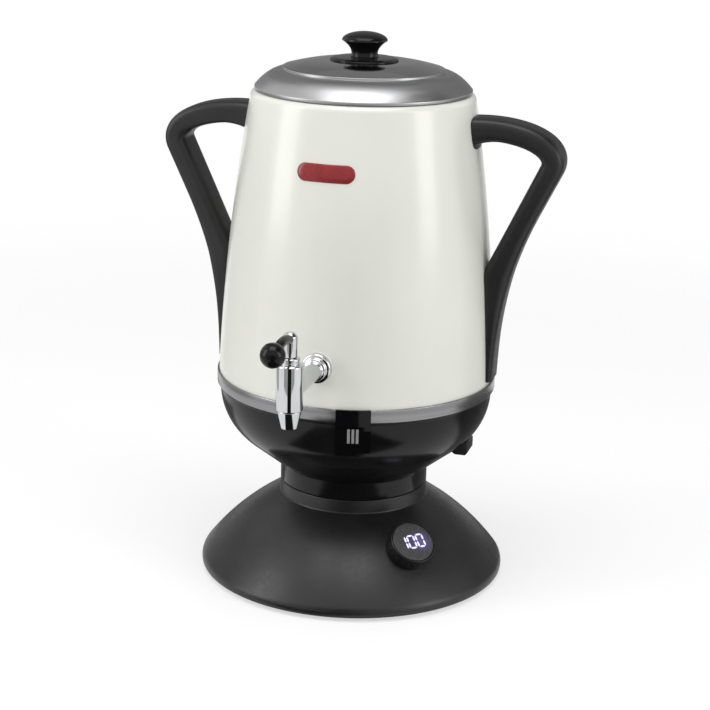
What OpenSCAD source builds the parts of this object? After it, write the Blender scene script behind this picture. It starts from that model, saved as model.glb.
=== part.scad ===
// Electric samovar: a water vessel with a tap that turns on, and lifts off, a round powered base.
// Millimetres. Z is up, the origin is on the vertical axis at the floor, and the tap points along -Y.

/* [Base] */
// Largest radius of the base
base_r = 112.4; // [104:0.2:122]
// Height of the base from the floor to the top of its collar
base_h = 68; // [62:1:80]
// Wall of the base dome
base_wall = 3; // [2:0.5:4]
// Height of the rubber foot ring
foot_h = 3; // [2:0.5:5]
// Width of the rubber foot ring
foot_w = 9; // [6:1:14]
// Thickness of the cover that closes the base from below
cover_t = 3; // [2:0.5:4]
// Radius of the neck where the vessel meets the base
neck_r = 54.2; // [48:0.2:58]
// Radius of the rounded lower edge
edge_round = 7.6; // [6:0.2:9]
// Upward angle at which the lower edge runs into the dome
edge_sweep = 37.3; // [35:0.1:39]
// Radius of the dome's side
dome_r = 175; // [150:1:200]
// Radius of the round power post
post_r = 14; // [11:0.5:17]
// Height of the power post above the collar
post_h = 14; // [10:1:18]

/* [Control dial] */
// Angle of the dial around the axis, from the tap
dial_az = 44.4; // [38:0.2:52]
// Upward angle of the dial's own axis
dial_el = 50.7; // [48:0.1:54]
// Outer radius of the dial
dial_r = 17; // [16.5:0.5:19]
// Height of the dial above the dome
dial_h = 11; // [8:0.5:13]
// Radius of the fixed turret inside the dial
turret_r = 12; // [11:0.25:12.5]

/* [Bowl] */
// Largest radius of the bowl
bowl_r = 99; // [96:0.5:104]
// Wall of the bowl
bowl_wall = 3; // [2:0.25:4]
// Radius of the curve in the bowl's side
bowl_round = 47.5; // [40:0.5:54]
// Angle that the curve sweeps before the cone starts
bowl_sweep = 51.7; // [46:0.1:55]
// Straight neck below the cone
bowl_neck_h = 13; // [9:0.2:16]
// Straight lip above the curve
bowl_lip_h = 3.2; // [2.8:0.1:6]

/* [Shell] */
// Wall of the outer shell
shell_wall = 1.5; // [1:0.1:2]
// Radius of the shell at its shoulder
shell_top_r = 79.3; // [77:0.1:84]
// Height of the curved side
shell_side_h = 199; // [185:1:215]
// How far the side bulges past a straight cone
shell_bulge = 3.2; // [0:0.2:5]
// Radius of the shoulder
shoulder_r = 5; // [4:0.5:7]
// Radius of the filling mouth
mouth_r = 70; // [66:0.5:71]
// Height of the chrome band
band_h = 9.2; // [8:0.2:14]
// Thickness of the chrome band
band_t = 1.2; // [0.8:0.1:2]

/* [Tank and heater] */
// Air space between shell and tank
tank_gap = 3; // [2.6:0.2:4]
// Wall of the tank
tank_wall = 1; // [0.6:0.1:1.5]
// Radius of the heater plate
plate_r = 62; // [55:1:68]
// Thickness of the heater plate
plate_t = 5; // [4:0.5:8]
// Radius of the heating ring
element_ring_r = 48; // [40:1:50]
// Radius of the heating tube
element_r = 4; // [3:0.25:5]

/* [Handles] */
// Height of the arm's middle below the top of the shell
handle_drop = 21; // [19:0.5:30]
// Radius where the arm's curve runs into the leg, from the vessel axis
handle_reach = 136.1; // [130:0.5:146]
// How far the arm's curve falls to that point
handle_fall = 25.6; // [23:0.2:30]
// How far the arm keeps its direction at the root
arm_hold = 40; // [30:1:46]
// How far the curve keeps the direction of the leg
leg_hold = 18; // [16:0.5:24]
// Upward angle of the arm at the root
arm_rise = 5; // [0:0.5:8]
// Lean of the leg from the vertical
handle_lean = 25.3; // [24:0.1:26.5]
// Thickness of the arm
arm_t = 16; // [14:0.5:18]
// Thickness of the leg
leg_t = 15.2; // [13:0.2:16]
// Width of the handle
handle_w = 27; // [22:0.5:30]

/* [Tap] */
// Height of the tap's shank above the band
tap_up = 28.7; // [24:0.5:45]
// Distance from the shell to the middle of the barrel
tap_reach = 63; // [50:1:85]
// Radius of the barrel
barrel_r = 8.8; // [8.2:0.2:11]
// Height of the barrel above the shank's middle
barrel_up = 20.3; // [16:0.5:26]
// Depth of the barrel below the shank's middle
barrel_down = 11; // [9.5:0.5:16]
// Length of the tapered nozzle
nozzle_l = 12.4; // [8:0.2:20]
// Radius of the turning plug
plug_r = 5.6; // [5:0.1:6]
// Radius of the water way
water_r = 3; // [2.4:0.1:3.4]
// Length of the lever from stem to ball
lever_l = 36; // [30:1:50]
// Radius of the ball on the lever
ball_r = 8.2; // [6.5:0.1:10]

/* [Lid] */
// Radius of the lid's rim
lid_r = 76.5; // [75:0.5:77.5]
// Height of the lid's rim edge
rim_h = 2; // [1.5:0.5:3]
// Radius of the step in the lid
step_r = 57; // [50:1:60]
// Height of the step
step_h = 1.7; // [1.2:0.1:2.5]
// Rise of the outer slope
slope_h = 11.8; // [9:0.2:14]
// Rise of the crown inside the step
crown_h = 5.1; // [4:0.1:9]
// Sheet thickness of the lid
lid_t = 1.2; // [0.8:0.1:1.5]
// Radius of the disc under the knob
skirt_r = 24; // [19:0.5:27]
// Height of the disc under the knob
skirt_h = 2.6; // [2:0.2:5]
// Largest radius of the knob
knob_r = 16; // [13:0.5:20]
// Height of the knob
knob_h = 17.2; // [14:0.1:24]

/* [Switch and panel] */
// Width of the switch paddle
paddle_w = 20; // [14:0.5:24]
// How far the paddle stands out of the bowl's curve
paddle_out = 6.3; // [5:0.1:7]
// Upward travel of the paddle in degrees
paddle_travel = 10; // [6:1:12]
// Angle of the indicator panel around the axis, from the tap
panel_az = 14.6; // [10:0.2:25]
// Width of the indicator panel
panel_w = 24; // [18:0.5:30]
// Height of the lamp bars
lamp_h = 10.8; // [8:0.1:12]

/* [Fits] */
// Gap between pieces that move past each other
free_gap = 0.3; // [0.2:0.05:0.5]
// Gap of a turning pin or shaft in its bore
run_gap = 0.05; // [0.03:0.01:0.1]
// Gap between pieces that are fastened together
seat_gap = 0.1; // [0.05:0.01:0.2]

/* [Hidden] */
$fn = 96;
eps = 0.01;

// Base: a rounded lower edge that runs into the wide arc of the dome, whose middle lies past the axis
edge_mid = [base_r - edge_round, foot_h + 2.4];
dome_mid = edge_mid + (edge_round - dome_r) * [cos(edge_sweep), sin(edge_sweep)];
ceiling_z = base_h - base_wall;
function edge_at(z, off) = edge_mid.x + sqrt((edge_round + off)^2 - (z - edge_mid.y)^2);
function base_line(off) =
    let (
        first = asin((foot_h - edge_mid.y) / (edge_round + off)),
        last = acos((neck_r + off - dome_mid.x) / (dome_r + off)),
        side = arc(dome_mid.x, dome_mid.y, dome_r + off, edge_sweep, last, 20)
    )
    concat(arc(edge_mid.x, edge_mid.y, edge_round + off, first, edge_sweep, 8),
        [for (i = [1:len(side) - 1]) side[i]]);

// Base inside
cover_z = foot_h + cover_t;
cover_r = edge_at(foot_h, -base_wall) - free_gap;
foot_r = cover_r - 3;
cover_screw_r = foot_r - foot_w - 8;
boss_r = 4.5;
screw_r = 1.5;
screw_head_r = 3;
screw_head_h = 1.8;
gland_body_r = 5.5;
gland_rim = 3;
gland_z = cover_z + gland_body_r + gland_rim + 0.5;
gland_face = edge_at(gland_z - gland_body_r - gland_rim, 0) + seat_gap;
gland_boss_l = 18;
gland_bore_r = 3.3;
post_flange_r = post_r + 7;
post_flange_h = 3;
board_z = cover_z + 8;
board_size = [52, 34, 1.6];
board_mid_r = 48;
board_pilot_r = 1;
board_screw_head_r = 2;
board_screw_head_h = 1.4;
board_screw_l = 6;
relay_size = [18, 14, 11];
relay_at = [-16, -12];
capacitor_r = 4;
capacitor_h = 10;
capacitor_at = [8, -4];
plug_size = [9, 7, 3];
plug_at = [10, 6];
post_grid = [for (x = [-1, 1], y = [-1, 1]) [x * (board_size.x / 2 - 4), y * (board_size.y / 2 - 4)]];
standoff_r = 3;

// Dial, measured along its own axis from the middle of the dome's arc
dial_foot = dome_r + free_gap;
dial_top = dome_r + dial_h;
lens_t = 1.5;
lens_r = turret_r + 3;
turret_top = dial_top - lens_t;
turret_bore_r = turret_r - 1.6;
turret_depth = 9;
turret_flange_r = turret_r + 3;

// Bowl
bowl_z = base_h + free_gap;
cone_a = 90 - bowl_sweep;
curve_end_r = bowl_r - bowl_round * (1 - cos(bowl_sweep));
curve_end_z = bowl_z + bowl_neck_h + (curve_end_r - neck_r) * tan(cone_a);
curve_z = curve_end_z + bowl_round * sin(bowl_sweep);
bowl_top = curve_z + bowl_lip_h;
// Small bead at the bowl's upper edge, as wide as the shell that rests on it
rim_step = 1.1;
rim_bead = 1.2;
function bowl_side(off) =
    let (
        rho = bowl_round + off,
        end_r = bowl_r - bowl_round + rho * cos(bowl_sweep),
        end_z = curve_z - rho * sin(bowl_sweep),
        foot_z = end_z - (end_r - neck_r - off) * tan(cone_a)
    )
    concat([[neck_r + off, foot_z]], arc(bowl_r - bowl_round, curve_z, rho, -bowl_sweep, 0, 14));

// Power socket in the floor of the bowl
socket_bore_r = post_r + free_gap;
socket_r = socket_bore_r + 6;
socket_flange_r = socket_r + 5;
socket_flange_h = 2.5;
socket_depth = post_h + 2;

// Shell
shell_r = bowl_r + rim_step;
side_z0 = bowl_top + band_h;
side_z1 = side_z0 + shell_side_h;
function side_r(t) = shell_r + (shell_top_r - shell_r) * t + 4 * shell_bulge * t * (1 - t);
function side_a(t) = atan((shell_r - shell_top_r - 4 * shell_bulge * (1 - 2 * t)) / shell_side_h);
function side_pt(t, off) =
    [side_r(t) + off * cos(side_a(t)), side_z0 + shell_side_h * t + off * sin(side_a(t))];
function side_t(z) = (z - side_z0) / shell_side_h;
function shell_at(z) = side_r(side_t(z));
side_steps = 16;
shoulder_a = side_a(1);
shoulder_mid = [shell_top_r - shoulder_r * cos(shoulder_a), side_z1 - shoulder_r * sin(shoulder_a)];
shell_top = shoulder_mid.y + shoulder_r;
spigot_r = shell_r - shell_wall - seat_gap;
spigot_w = 2.4;
spigot_h = band_h - 3;
shell_screw_z = bowl_top + spigot_h / 2;
shell_screw_angles = [30, 150, 240];

// Tank
tank_off = shell_wall + tank_gap;
tank_z = bowl_top + band_h - 2;
tank_corner = 6;
gasket_h = 2;
tank_top = shell_top - shell_wall - gasket_h;
tank_t0 = side_t(tank_z + tank_corner);
tank_t1 = side_t(tank_top - 6);
tank_foot_r = side_r(tank_t0) - tank_off;
rim_in_r = mouth_r + 0.8;
pad_h = 2;
pad_r = 5;
pad_ring_r = plate_r + 12;
thermostat_r = 15;
thermostat_h = 11;
element_leg_l = 22;
terminal_r = 1.5;
terminal_l = 8;
element_gap = 50;
element_ends = [90 + element_gap / 2, 90 - element_gap / 2];

// Handles
arm_z = shell_top - handle_drop;
tail_top_z = side_z0 + shell_side_h * 0.52;
tail_end_z = side_z0 + 3;
tail_end_t = 2.4;
tail_dip = 3.6;
root_swell = 6;
arm_screw_z = arm_z;
leg_screw_z = tail_top_z - 33;
handle_screw_r = 2;
handle_head_r = 3.6;
handle_head_h = 1.6;

// Tap
tap_z = side_z0 + tap_up;
tap_face = shell_at(tap_z);
barrel_y = -(tap_face + tap_reach);
shank_r = 6;
flange_r = 10.5;
flange_t = 4;
seal_t = 2;
tank_face = tap_face - (tank_off + tank_wall) / cos(side_a(side_t(tap_z)));
nut_t = 5;
plug_foot_z = tap_z - barrel_down + 3;
plug_top_z = tap_z + barrel_up - 2;
gland_h = 4.5;
gland_r = 6.6;
stem_r = 3;
hub_r = 4.8;
hub_z = tap_z + barrel_up + gland_h + free_gap;
hub_h = 16.2;
lever_z = hub_z + hub_h - 5.4;
lever_r = 3.1;
lever_rise = 3.5;
lever_reach = lever_l - ball_r + 3;
lever_curve = (lever_reach^2 / 4 + lever_rise^2) / (2 * lever_rise);
lever_sweep = 2 * asin(lever_reach / 2 / lever_curve);

// Lid
rim_z = shell_top + free_gap;
slope_z = rim_z + rim_h;
step_z = slope_z + slope_h;
slope_power = 2;
crown_z = step_z + step_h + crown_h;
lip_r = mouth_r - 1.2;
lip_depth = 9;
liner_t = 1.3;
seal_bead_r = 0.7;
bead_z = shell_top - shell_wall / 2;
knob_neck_r = knob_r * 0.52;
skirt_edge = 3;
knob_z = crown_z + skirt_h;
knob_screw_r = 2;

// Switch, placed where the cone of the bowl runs into its curve
paddle_x = curve_end_r + paddle_out;
paddle_z = curve_end_z - 5.4;
paddle_h = 9.5;
pivot_x = curve_end_r - 18;
pivot_z = curve_end_z;
pin_r = 1.5;
sleeve_r = 3.4;
window_w = paddle_w + 1.6;
window_gap = 1.5;
window_depth = 14;
// How far the paddle's tab rises when it is let go
paddle_rise = (paddle_x - pivot_x) * sin(paddle_travel);
ear_t = 3;
ear_y = window_w / 2 + 1;
ear_l = 24;
ear_down = 6;
ear_up = 9;

// Panel
panel_z = bowl_top - 27;
panel_proud = 0.5;
panel_t = 1.8;
lamp_w = 1.8;
lamp_pitch = 3;
lamp_z = bowl_top - 5 - lamp_h;

function arc(x, z, r, a0, a1, n) =
    [for (i = [0:n]) let (a = a0 + (a1 - a0) * i / n) [x + r * cos(a), z + r * sin(a)]];
function reverse(list) = [for (i = [len(list) - 1:-1:0]) list[i]];

module revolve(outline) rotate_extrude() polygon(outline);

module ring(r_out, r_in, z0, z1) {
    revolve([[r_in, z0], [r_out, z0], [r_out, z1], [r_in, z1]]);
}

// A cylinder along the outward radius at an angle around the axis
module spoke(angle, z, r, from, to) {
    rotate([0, 0, angle])
        translate([from, 0, z])
            rotate([0, 90, 0])
                cylinder(r = r, h = to - from);
}

// A cylinder along -Y, from one distance from the axis to another
module along_tap(r, from, to) {
    translate([0, -from, tap_z])
        rotate([90, 0, 0])
            cylinder(r = r, h = to - from);
}

// The base as a full body, moved out or in by an offset and lengthened below by an amount
module base_body(off, down) {
    revolve(concat(
        [[0, foot_h - down]],
        down > 0 ? [[edge_at(foot_h, off), foot_h - down]] : [],
        base_line(off),
        [[neck_r + off, base_h + off], [0, base_h + off]]
    ));
}

// The dial's own frame: its axis is Z, with zero at the middle of the dome's arc
module on_dial() {
    rotate([0, 0, dial_az - 90])
        translate([dome_mid.x, 0, dome_mid.y])
            rotate([0, 90 - dial_el, 0])
                children();
}

module at_cover_screws() {
    for (i = [0:2])
        rotate([0, 0, dial_az - 30 + 120 * i])
            translate([cover_screw_r, 0, 0])
                children();
}

module on_board() {
    rotate([0, 0, dial_az - 90])
        translate([board_mid_r, 0, 0])
            children();
}

module base_shell() {
    color("#2a2a2c")
        difference() {
            union() {
                difference() {
                    base_body(0, 0);
                    base_body(-base_wall, 1);
                }
                intersection() {
                    union() {
                        at_cover_screws()
                            translate([0, 0, cover_z])
                                cylinder(r = boss_r, h = base_h);
                        spoke(90, gland_z, gland_body_r + gland_rim, gland_face - gland_boss_l, gland_face);
                    }
                    union() {
                        base_body(-base_wall / 2, 0);
                        spoke(90, gland_z, gland_body_r + gland_rim, gland_face - gland_boss_l, gland_face);
                    }
                }
            }
            translate([0, 0, ceiling_z - 1])
                cylinder(r = post_r + seat_gap, h = base_wall + 2);
            at_cover_screws()
                translate([0, 0, cover_z - 1])
                    cylinder(r = screw_r, h = 13);
            spoke(90, gland_z, gland_body_r + seat_gap, gland_face - gland_boss_l - 1, gland_face + 1);
            on_dial()
                translate([0, 0, dome_r - base_wall - 4])
                    cylinder(r = turret_r + seat_gap, h = base_wall + 8);
        }
}

module base_cover() {
    color("#232325")
        difference() {
            union() {
                translate([0, 0, foot_h])
                    cylinder(r = cover_r, h = cover_t);
                on_board()
                    for (p = post_grid)
                        translate([p.x, p.y, cover_z - 1])
                            cylinder(r = standoff_r, h = board_z - cover_z + 1);
            }
            at_cover_screws() {
                translate([0, 0, foot_h - 1])
                    cylinder(r = screw_r + seat_gap, h = cover_t + 2);
                translate([0, 0, foot_h - 1])
                    cylinder(r = screw_head_r + seat_gap, h = screw_head_h + 1);
            }
            on_board()
                for (p = post_grid)
                    translate([p.x, p.y, cover_z])
                        cylinder(r = board_pilot_r, h = board_z);
        }
}

module cover_screws() {
    color("#9a9a9a")
        at_cover_screws() {
            translate([0, 0, foot_h])
                cylinder(r = screw_head_r, h = screw_head_h);
            translate([0, 0, foot_h])
                cylinder(r = screw_r - seat_gap, h = cover_t + 10);
        }
}

module foot_ring() {
    color("#151515")
        ring(foot_r, foot_r - foot_w, 0, foot_h);
}

module cord_gland() {
    color("#181818")
        difference() {
            union() {
                spoke(90, gland_z, gland_body_r, gland_face - gland_boss_l - 1.5, gland_face + 1);
                spoke(90, gland_z, gland_body_r + gland_rim - 1, gland_face, gland_face + 2);
                spoke(90, gland_z, gland_body_r + 1.5, gland_face - gland_boss_l - 1.5, gland_face - gland_boss_l);
            }
            spoke(90, gland_z, gland_bore_r, gland_face - gland_boss_l - 2, gland_face + 3);
        }
}

// Round post with ring contacts, so that the vessel can stand on it at any angle
module power_post() {
    color("#202022")
        difference() {
            union() {
                translate([0, 0, ceiling_z - post_flange_h])
                    cylinder(r = post_flange_r, h = post_flange_h);
                translate([0, 0, ceiling_z - post_flange_h])
                    cylinder(r = post_r, h = base_h + post_h - ceiling_z + post_flange_h - 2);
                translate([0, 0, base_h + post_h - 2])
                    cylinder(r1 = post_r, r2 = post_r - 2, h = 2);
            }
            translate([0, 0, base_h])
                cylinder(r = 2.5, h = post_h + 1);
            ring(post_r - 3, post_r - 4.5, base_h + 2, base_h + post_h + 1);
            ring(post_r - 6.5, post_r - 8, base_h + 2, base_h + post_h + 1);
        }
}

module control_board() {
    color("#1f6b3a")
        on_board()
            difference() {
                union() {
                    translate([-board_size.x / 2, -board_size.y / 2, board_z])
                        cube(board_size);
                    translate([relay_at.x, relay_at.y, board_z + board_size.z - eps])
                        cube(relay_size);
                    translate([capacitor_at.x, capacitor_at.y, board_z + board_size.z - eps])
                        cylinder(r = capacitor_r, h = capacitor_h);
                    translate([plug_at.x, plug_at.y, board_z + board_size.z - eps])
                        cube(plug_size);
                }
                for (p = post_grid)
                    translate([p.x, p.y, board_z - 1])
                        cylinder(r = board_pilot_r + 2 * seat_gap, h = board_size.z + 2);
            }
}

module board_screws() {
    color("#b0b0b0")
        on_board()
            for (p = post_grid)
                translate([p.x, p.y, board_z + board_size.z]) {
                    cylinder(r = board_screw_head_r, h = board_screw_head_h);
                    translate([0, 0, -board_screw_l])
                        cylinder(r = board_pilot_r - run_gap, h = board_screw_l + board_screw_head_h / 2);
                }
}

// Fixed tube that goes through the dome, carries the display and is the bearing of the dial
module display_turret() {
    color("#1b1b1d")
        difference() {
            union() {
                on_dial()
                    translate([0, 0, dome_r - base_wall - turret_depth])
                        cylinder(r = turret_r, h = turret_top - dome_r + base_wall + turret_depth);
                intersection() {
                    on_dial()
                        translate([0, 0, dome_r - base_wall - 5])
                            cylinder(r = turret_flange_r, h = 6);
                    base_body(-base_wall - seat_gap, 0);
                }
            }
            on_dial() {
                translate([0, 0, dome_r - base_wall - turret_depth - 1])
                    cylinder(r = turret_bore_r - 1.5, h = turret_depth + dial_h + 10);
                translate([0, 0, turret_top - 4])
                    cylinder(r = turret_bore_r, h = 5);
            }
        }
}

module display_board() {
    color("#14532d")
        on_dial()
            translate([0, 0, turret_top - 4])
                cylinder(r = turret_bore_r - seat_gap, h = 2);
}

module display_lens() {
    color("#4a4a4e")
        on_dial()
            union() {
                translate([0, 0, turret_top])
                    cylinder(r = lens_r, h = lens_t);
                translate([0, 0, turret_top - 1.5])
                    cylinder(r = turret_bore_r - seat_gap, h = 1.6);
            }
}

module control_dial() {
    color("#161618")
        on_dial()
            difference() {
                union() {
                    translate([0, 0, dial_foot])
                        cylinder(r = dial_r, h = dial_top - dial_foot - 1);
                    translate([0, 0, dial_top - 1 - eps])
                        cylinder(r1 = dial_r, r2 = dial_r - 0.8, h = 1 + eps);
                }
                translate([0, 0, dial_foot - 1])
                    cylinder(r = turret_r + run_gap, h = dial_h + 2);
                translate([0, 0, turret_top - free_gap])
                    cylinder(r = lens_r + free_gap, h = lens_t + 2);
                for (i = [0:23])
                    rotate([0, 0, i * 15])
                        translate([dial_r + 0.9, 0, dial_foot + 2])
                            cylinder(r = 1.2, h = dial_h, $fn = 24);
            }
}

module power_socket() {
    color("#262628")
        difference() {
            union() {
                translate([0, 0, bowl_z])
                    cylinder(r = socket_r, h = socket_depth + 3);
                translate([0, 0, bowl_z + bowl_wall + free_gap])
                    cylinder(r = socket_flange_r, h = socket_flange_h);
            }
            translate([0, 0, bowl_z - 1])
                cylinder(r = socket_bore_r, h = socket_depth + 1);
        }
}

module bowl_solid(off) {
    revolve(concat([[0, bowl_z], [neck_r + off, bowl_z]], bowl_side(off),
        [[bowl_r + off, bowl_top], [0, bowl_top]]));
}

module panel_block(grow) {
    rotate([0, 0, panel_az])
        translate([-panel_w / 2 - grow, -bowl_r - 6, panel_z - grow])
            cube([panel_w + 2 * grow, 26, side_z0 - panel_z + 2 * grow]);
}

module at_pads() {
    for (i = [0:3])
        rotate([0, 0, 45 + 90 * i])
            translate([pad_ring_r, 0, 0])
                children();
}

module ears() {
    for (s = [-1, 1])
        translate([pivot_x - ear_l, s * (ear_y + ear_t / 2) - ear_t / 2, pivot_z - ear_down])
            cube([curve_end_r - pivot_x + ear_l, ear_t, ear_down + ear_up]);
}

module bowl() {
    color("#1d1d1f")
        difference() {
            union() {
                revolve(concat(
                    [[socket_r + free_gap, bowl_z], [neck_r, bowl_z]],
                    bowl_side(0),
                    [[bowl_r, bowl_top - rim_bead - rim_step], [shell_r, bowl_top - rim_bead], [shell_r, bowl_top],
                        [spigot_r, bowl_top], [spigot_r, bowl_top + spigot_h],
                        [spigot_r - spigot_w, bowl_top + spigot_h], [spigot_r - spigot_w, bowl_top - 1]],
                    reverse(bowl_side(-bowl_wall)),
                    [[neck_r - bowl_wall, bowl_z + bowl_wall], [socket_r + free_gap, bowl_z + bowl_wall]]
                ));
                intersection() {
                    at_pads()
                        translate([0, 0, bowl_z])
                            cylinder(r = pad_r, h = tank_z - pad_h - bowl_z);
                    union() {
                        bowl_solid(-bowl_wall / 2);
                        translate([0, 0, bowl_top - 1])
                            cylinder(r = spigot_r - spigot_w, h = band_h);
                    }
                }
                intersection() {
                    ears();
                    bowl_solid(-bowl_wall / 2);
                }
            }
            translate([curve_end_r - window_depth, -window_w / 2, paddle_z - window_gap])
                cube([2 * window_depth, window_w, paddle_h + paddle_rise + 2 * window_gap]);
            translate([pivot_x, 0, pivot_z])
                rotate([90, 0, 0])
                    cylinder(r = pin_r, h = 2 * (ear_y + ear_t) + 2, center = true);
            difference() {
                panel_block(seat_gap);
                bowl_solid(-panel_t + panel_proud - seat_gap);
                translate([0, 0, bowl_top - 1 + seat_gap])
                    cylinder(r = spigot_r, h = band_h);
            }
            for (a = shell_screw_angles)
                spoke(a, shell_screw_z, screw_r, spigot_r - spigot_w - 1, spigot_r + 1);
        }
}

module trim_band() {
    color("#c9ccd0")
        difference() {
            ring(shell_r + seat_gap + band_t, shell_r + seat_gap, bowl_top, side_z0);
            panel_block(seat_gap);
        }
}

module panel_skin(proud, depth) {
    difference() {
        union() {
            bowl_solid(proud);
            translate([0, 0, bowl_top - rim_bead - rim_step])
                cylinder(r = shell_r + seat_gap + band_t + proud, h = band_h + rim_bead + rim_step);
        }
        bowl_solid(proud - depth);
        translate([0, 0, bowl_top - 1])
            cylinder(r = shell_r + seat_gap, h = band_h + 2);
    }
}

module lamp_bars(grow) {
    rotate([0, 0, panel_az])
        for (i = [-1:1])
            translate([i * lamp_pitch - lamp_w / 2 - grow, -bowl_r - 6, lamp_z - grow])
                cube([lamp_w + 2 * grow, 26, lamp_h + 2 * grow]);
}

module indicator_panel() {
    color("#0e0e10")
        difference() {
            intersection() {
                panel_skin(panel_proud, panel_t);
                panel_block(0);
            }
            lamp_bars(seat_gap);
        }
}

module indicator_lamps() {
    color("#f2f2f2")
        intersection() {
            panel_skin(panel_proud + 0.1, panel_t);
            lamp_bars(0);
        }
}

module shell_solid(off) {
    revolve(concat(
        [[0, bowl_top], [shell_r + off, bowl_top], [shell_r + off, side_z0]],
        [for (i = [1:side_steps]) side_pt(i / side_steps, off)],
        arc(shoulder_mid.x, shoulder_mid.y, shoulder_r + off, shoulder_a, 90, 6),
        [[0, shell_top + off]]
    ));
}

// Places children on the shell's outer face at a height, with Z along the outward normal
module on_wall(z, side) {
    rotate([0, 0, side > 0 ? 0 : 180])
        translate([shell_at(z), 0, z])
            rotate([0, 90 - side_a(side_t(z)), 0])
                children();
}

module outer_shell() {
    color("#f1efe9")
        difference() {
            revolve(concat(
                [[shell_r, bowl_top], [shell_r, side_z0]],
                [for (i = [1:side_steps]) side_pt(i / side_steps, 0)],
                arc(shoulder_mid.x, shoulder_mid.y, shoulder_r, shoulder_a, 90, 6),
                [[mouth_r, shell_top], [mouth_r, shell_top - shell_wall]],
                arc(shoulder_mid.x, shoulder_mid.y, shoulder_r - shell_wall, 90, shoulder_a, 6),
                [for (i = [side_steps - 1:-1:1]) side_pt(i / side_steps, -shell_wall)],
                [[shell_r - shell_wall, side_z0], [shell_r - shell_wall, bowl_top]]
            ));
            along_tap(shank_r + seat_gap, tap_face - 8, tap_face + 5);
            for (s = [-1, 1], z = [arm_screw_z, leg_screw_z])
                on_wall(z, s)
                    translate([0, 0, -shell_wall - 2])
                        cylinder(r = handle_screw_r + seat_gap, h = shell_wall + 4);
            for (a = shell_screw_angles)
                spoke(a, shell_screw_z, screw_r + seat_gap, shell_r - shell_wall - 1, shell_r + 1);
        }
}

module shell_screws() {
    color("#8c8c8c")
        for (a = shell_screw_angles)
            spoke(a, shell_screw_z, screw_r - seat_gap, spigot_r - spigot_w, shell_r - seat_gap);
}

function tank_side(off) =
    [for (i = [0:side_steps]) side_pt(tank_t0 + (tank_t1 - tank_t0) * i / side_steps, off)];

module inner_tank() {
    wall_off = -tank_off - tank_wall;
    outside = tank_side(-tank_off);
    inside = tank_side(wall_off);
    top_r = outside[side_steps].x - 0.8;
    color("#b9bcc0")
        difference() {
            revolve(concat(
                [[0, tank_z]],
                arc(tank_foot_r - tank_corner, tank_z + tank_corner, tank_corner, -90, -5, 6),
                outside,
                [[top_r, tank_top], [rim_in_r, tank_top], [rim_in_r, tank_top - tank_wall],
                    [top_r - tank_wall, tank_top - tank_wall]],
                reverse(inside),
                arc(tank_foot_r - tank_corner, tank_z + tank_corner, tank_corner - tank_wall, -5, -90, 6),
                [[0, tank_z + tank_wall]]
            ));
            along_tap(shank_r + seat_gap, tank_face - 8, tank_face + 8);
        }
}

module rim_gasket() {
    color("#d8d8d8")
        ring(shoulder_mid.x - 0.3, rim_in_r, tank_top, shell_top - shell_wall);
}

module tank_pads() {
    color("#c86b4a")
        at_pads()
            translate([0, 0, tank_z - pad_h])
                cylinder(r = pad_r, h = pad_h);
}

module element_ring(r) {
    translate([0, 0, tank_z - plate_t])
        rotate([0, 0, element_ends[0]])
            rotate_extrude(angle = 360 - element_gap)
                translate([element_ring_r, 0])
                    circle(r = r);
}

module heater_plate() {
    color("#c3c5c8")
        difference() {
            translate([0, 0, tank_z - plate_t])
                cylinder(r = plate_r, h = plate_t);
            translate([0, 0, tank_z - plate_t])
                rotate_extrude()
                    translate([element_ring_r, 0])
                        circle(r = element_r + seat_gap);
        }
}

module heating_element() {
    color("#7d7f83")
        union() {
            element_ring(element_r);
            for (a = element_ends)
                rotate([0, 0, a])
                    translate([element_ring_r, 0, tank_z - plate_t - element_leg_l]) {
                        cylinder(r = element_r, h = element_leg_l);
                        translate([0, 0, -terminal_l])
                            cylinder(r = terminal_r, h = terminal_l + 1);
                    }
        }
}

module thermostat() {
    color("#e8e4da")
        union() {
            translate([0, 0, tank_z - plate_t - thermostat_h])
                cylinder(r = thermostat_r, h = thermostat_h);
            for (s = [-1, 1])
                translate([s * 7 - 3, -0.4, tank_z - plate_t - thermostat_h - 9])
                    cube([6, 0.8, 10]);
        }
}

module thermal_fuse() {
    color("#d9c9a3")
        translate([0, -element_ring_r / 2 - thermostat_r / 2 + 2, tank_z - plate_t - 3])
            rotate([0, 90, 0])
                union() {
                    cylinder(r = 3, h = 16, center = true);
                    cylinder(r = 0.8, h = 30, center = true);
                }
}

// Handle: each station is a pair of points, on the outer and on the inner edge of the bent bar
function bar(mid, normal, t) = [mid + normal * t / 2, mid - normal * t / 2];
function mix(a, b, t) = a + (b - a) * t;
leg_dir = [-sin(handle_lean), -cos(handle_lean)];
leg_out = [cos(handle_lean), -sin(handle_lean)];
arm_root = [shell_at(arm_z) - 6, arm_z];
leg_start = [handle_reach, arm_z - handle_fall];
leg_run = (leg_start.y - tail_top_z) / cos(handle_lean);
leg_end = leg_start + leg_dir * leg_run;
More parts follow.
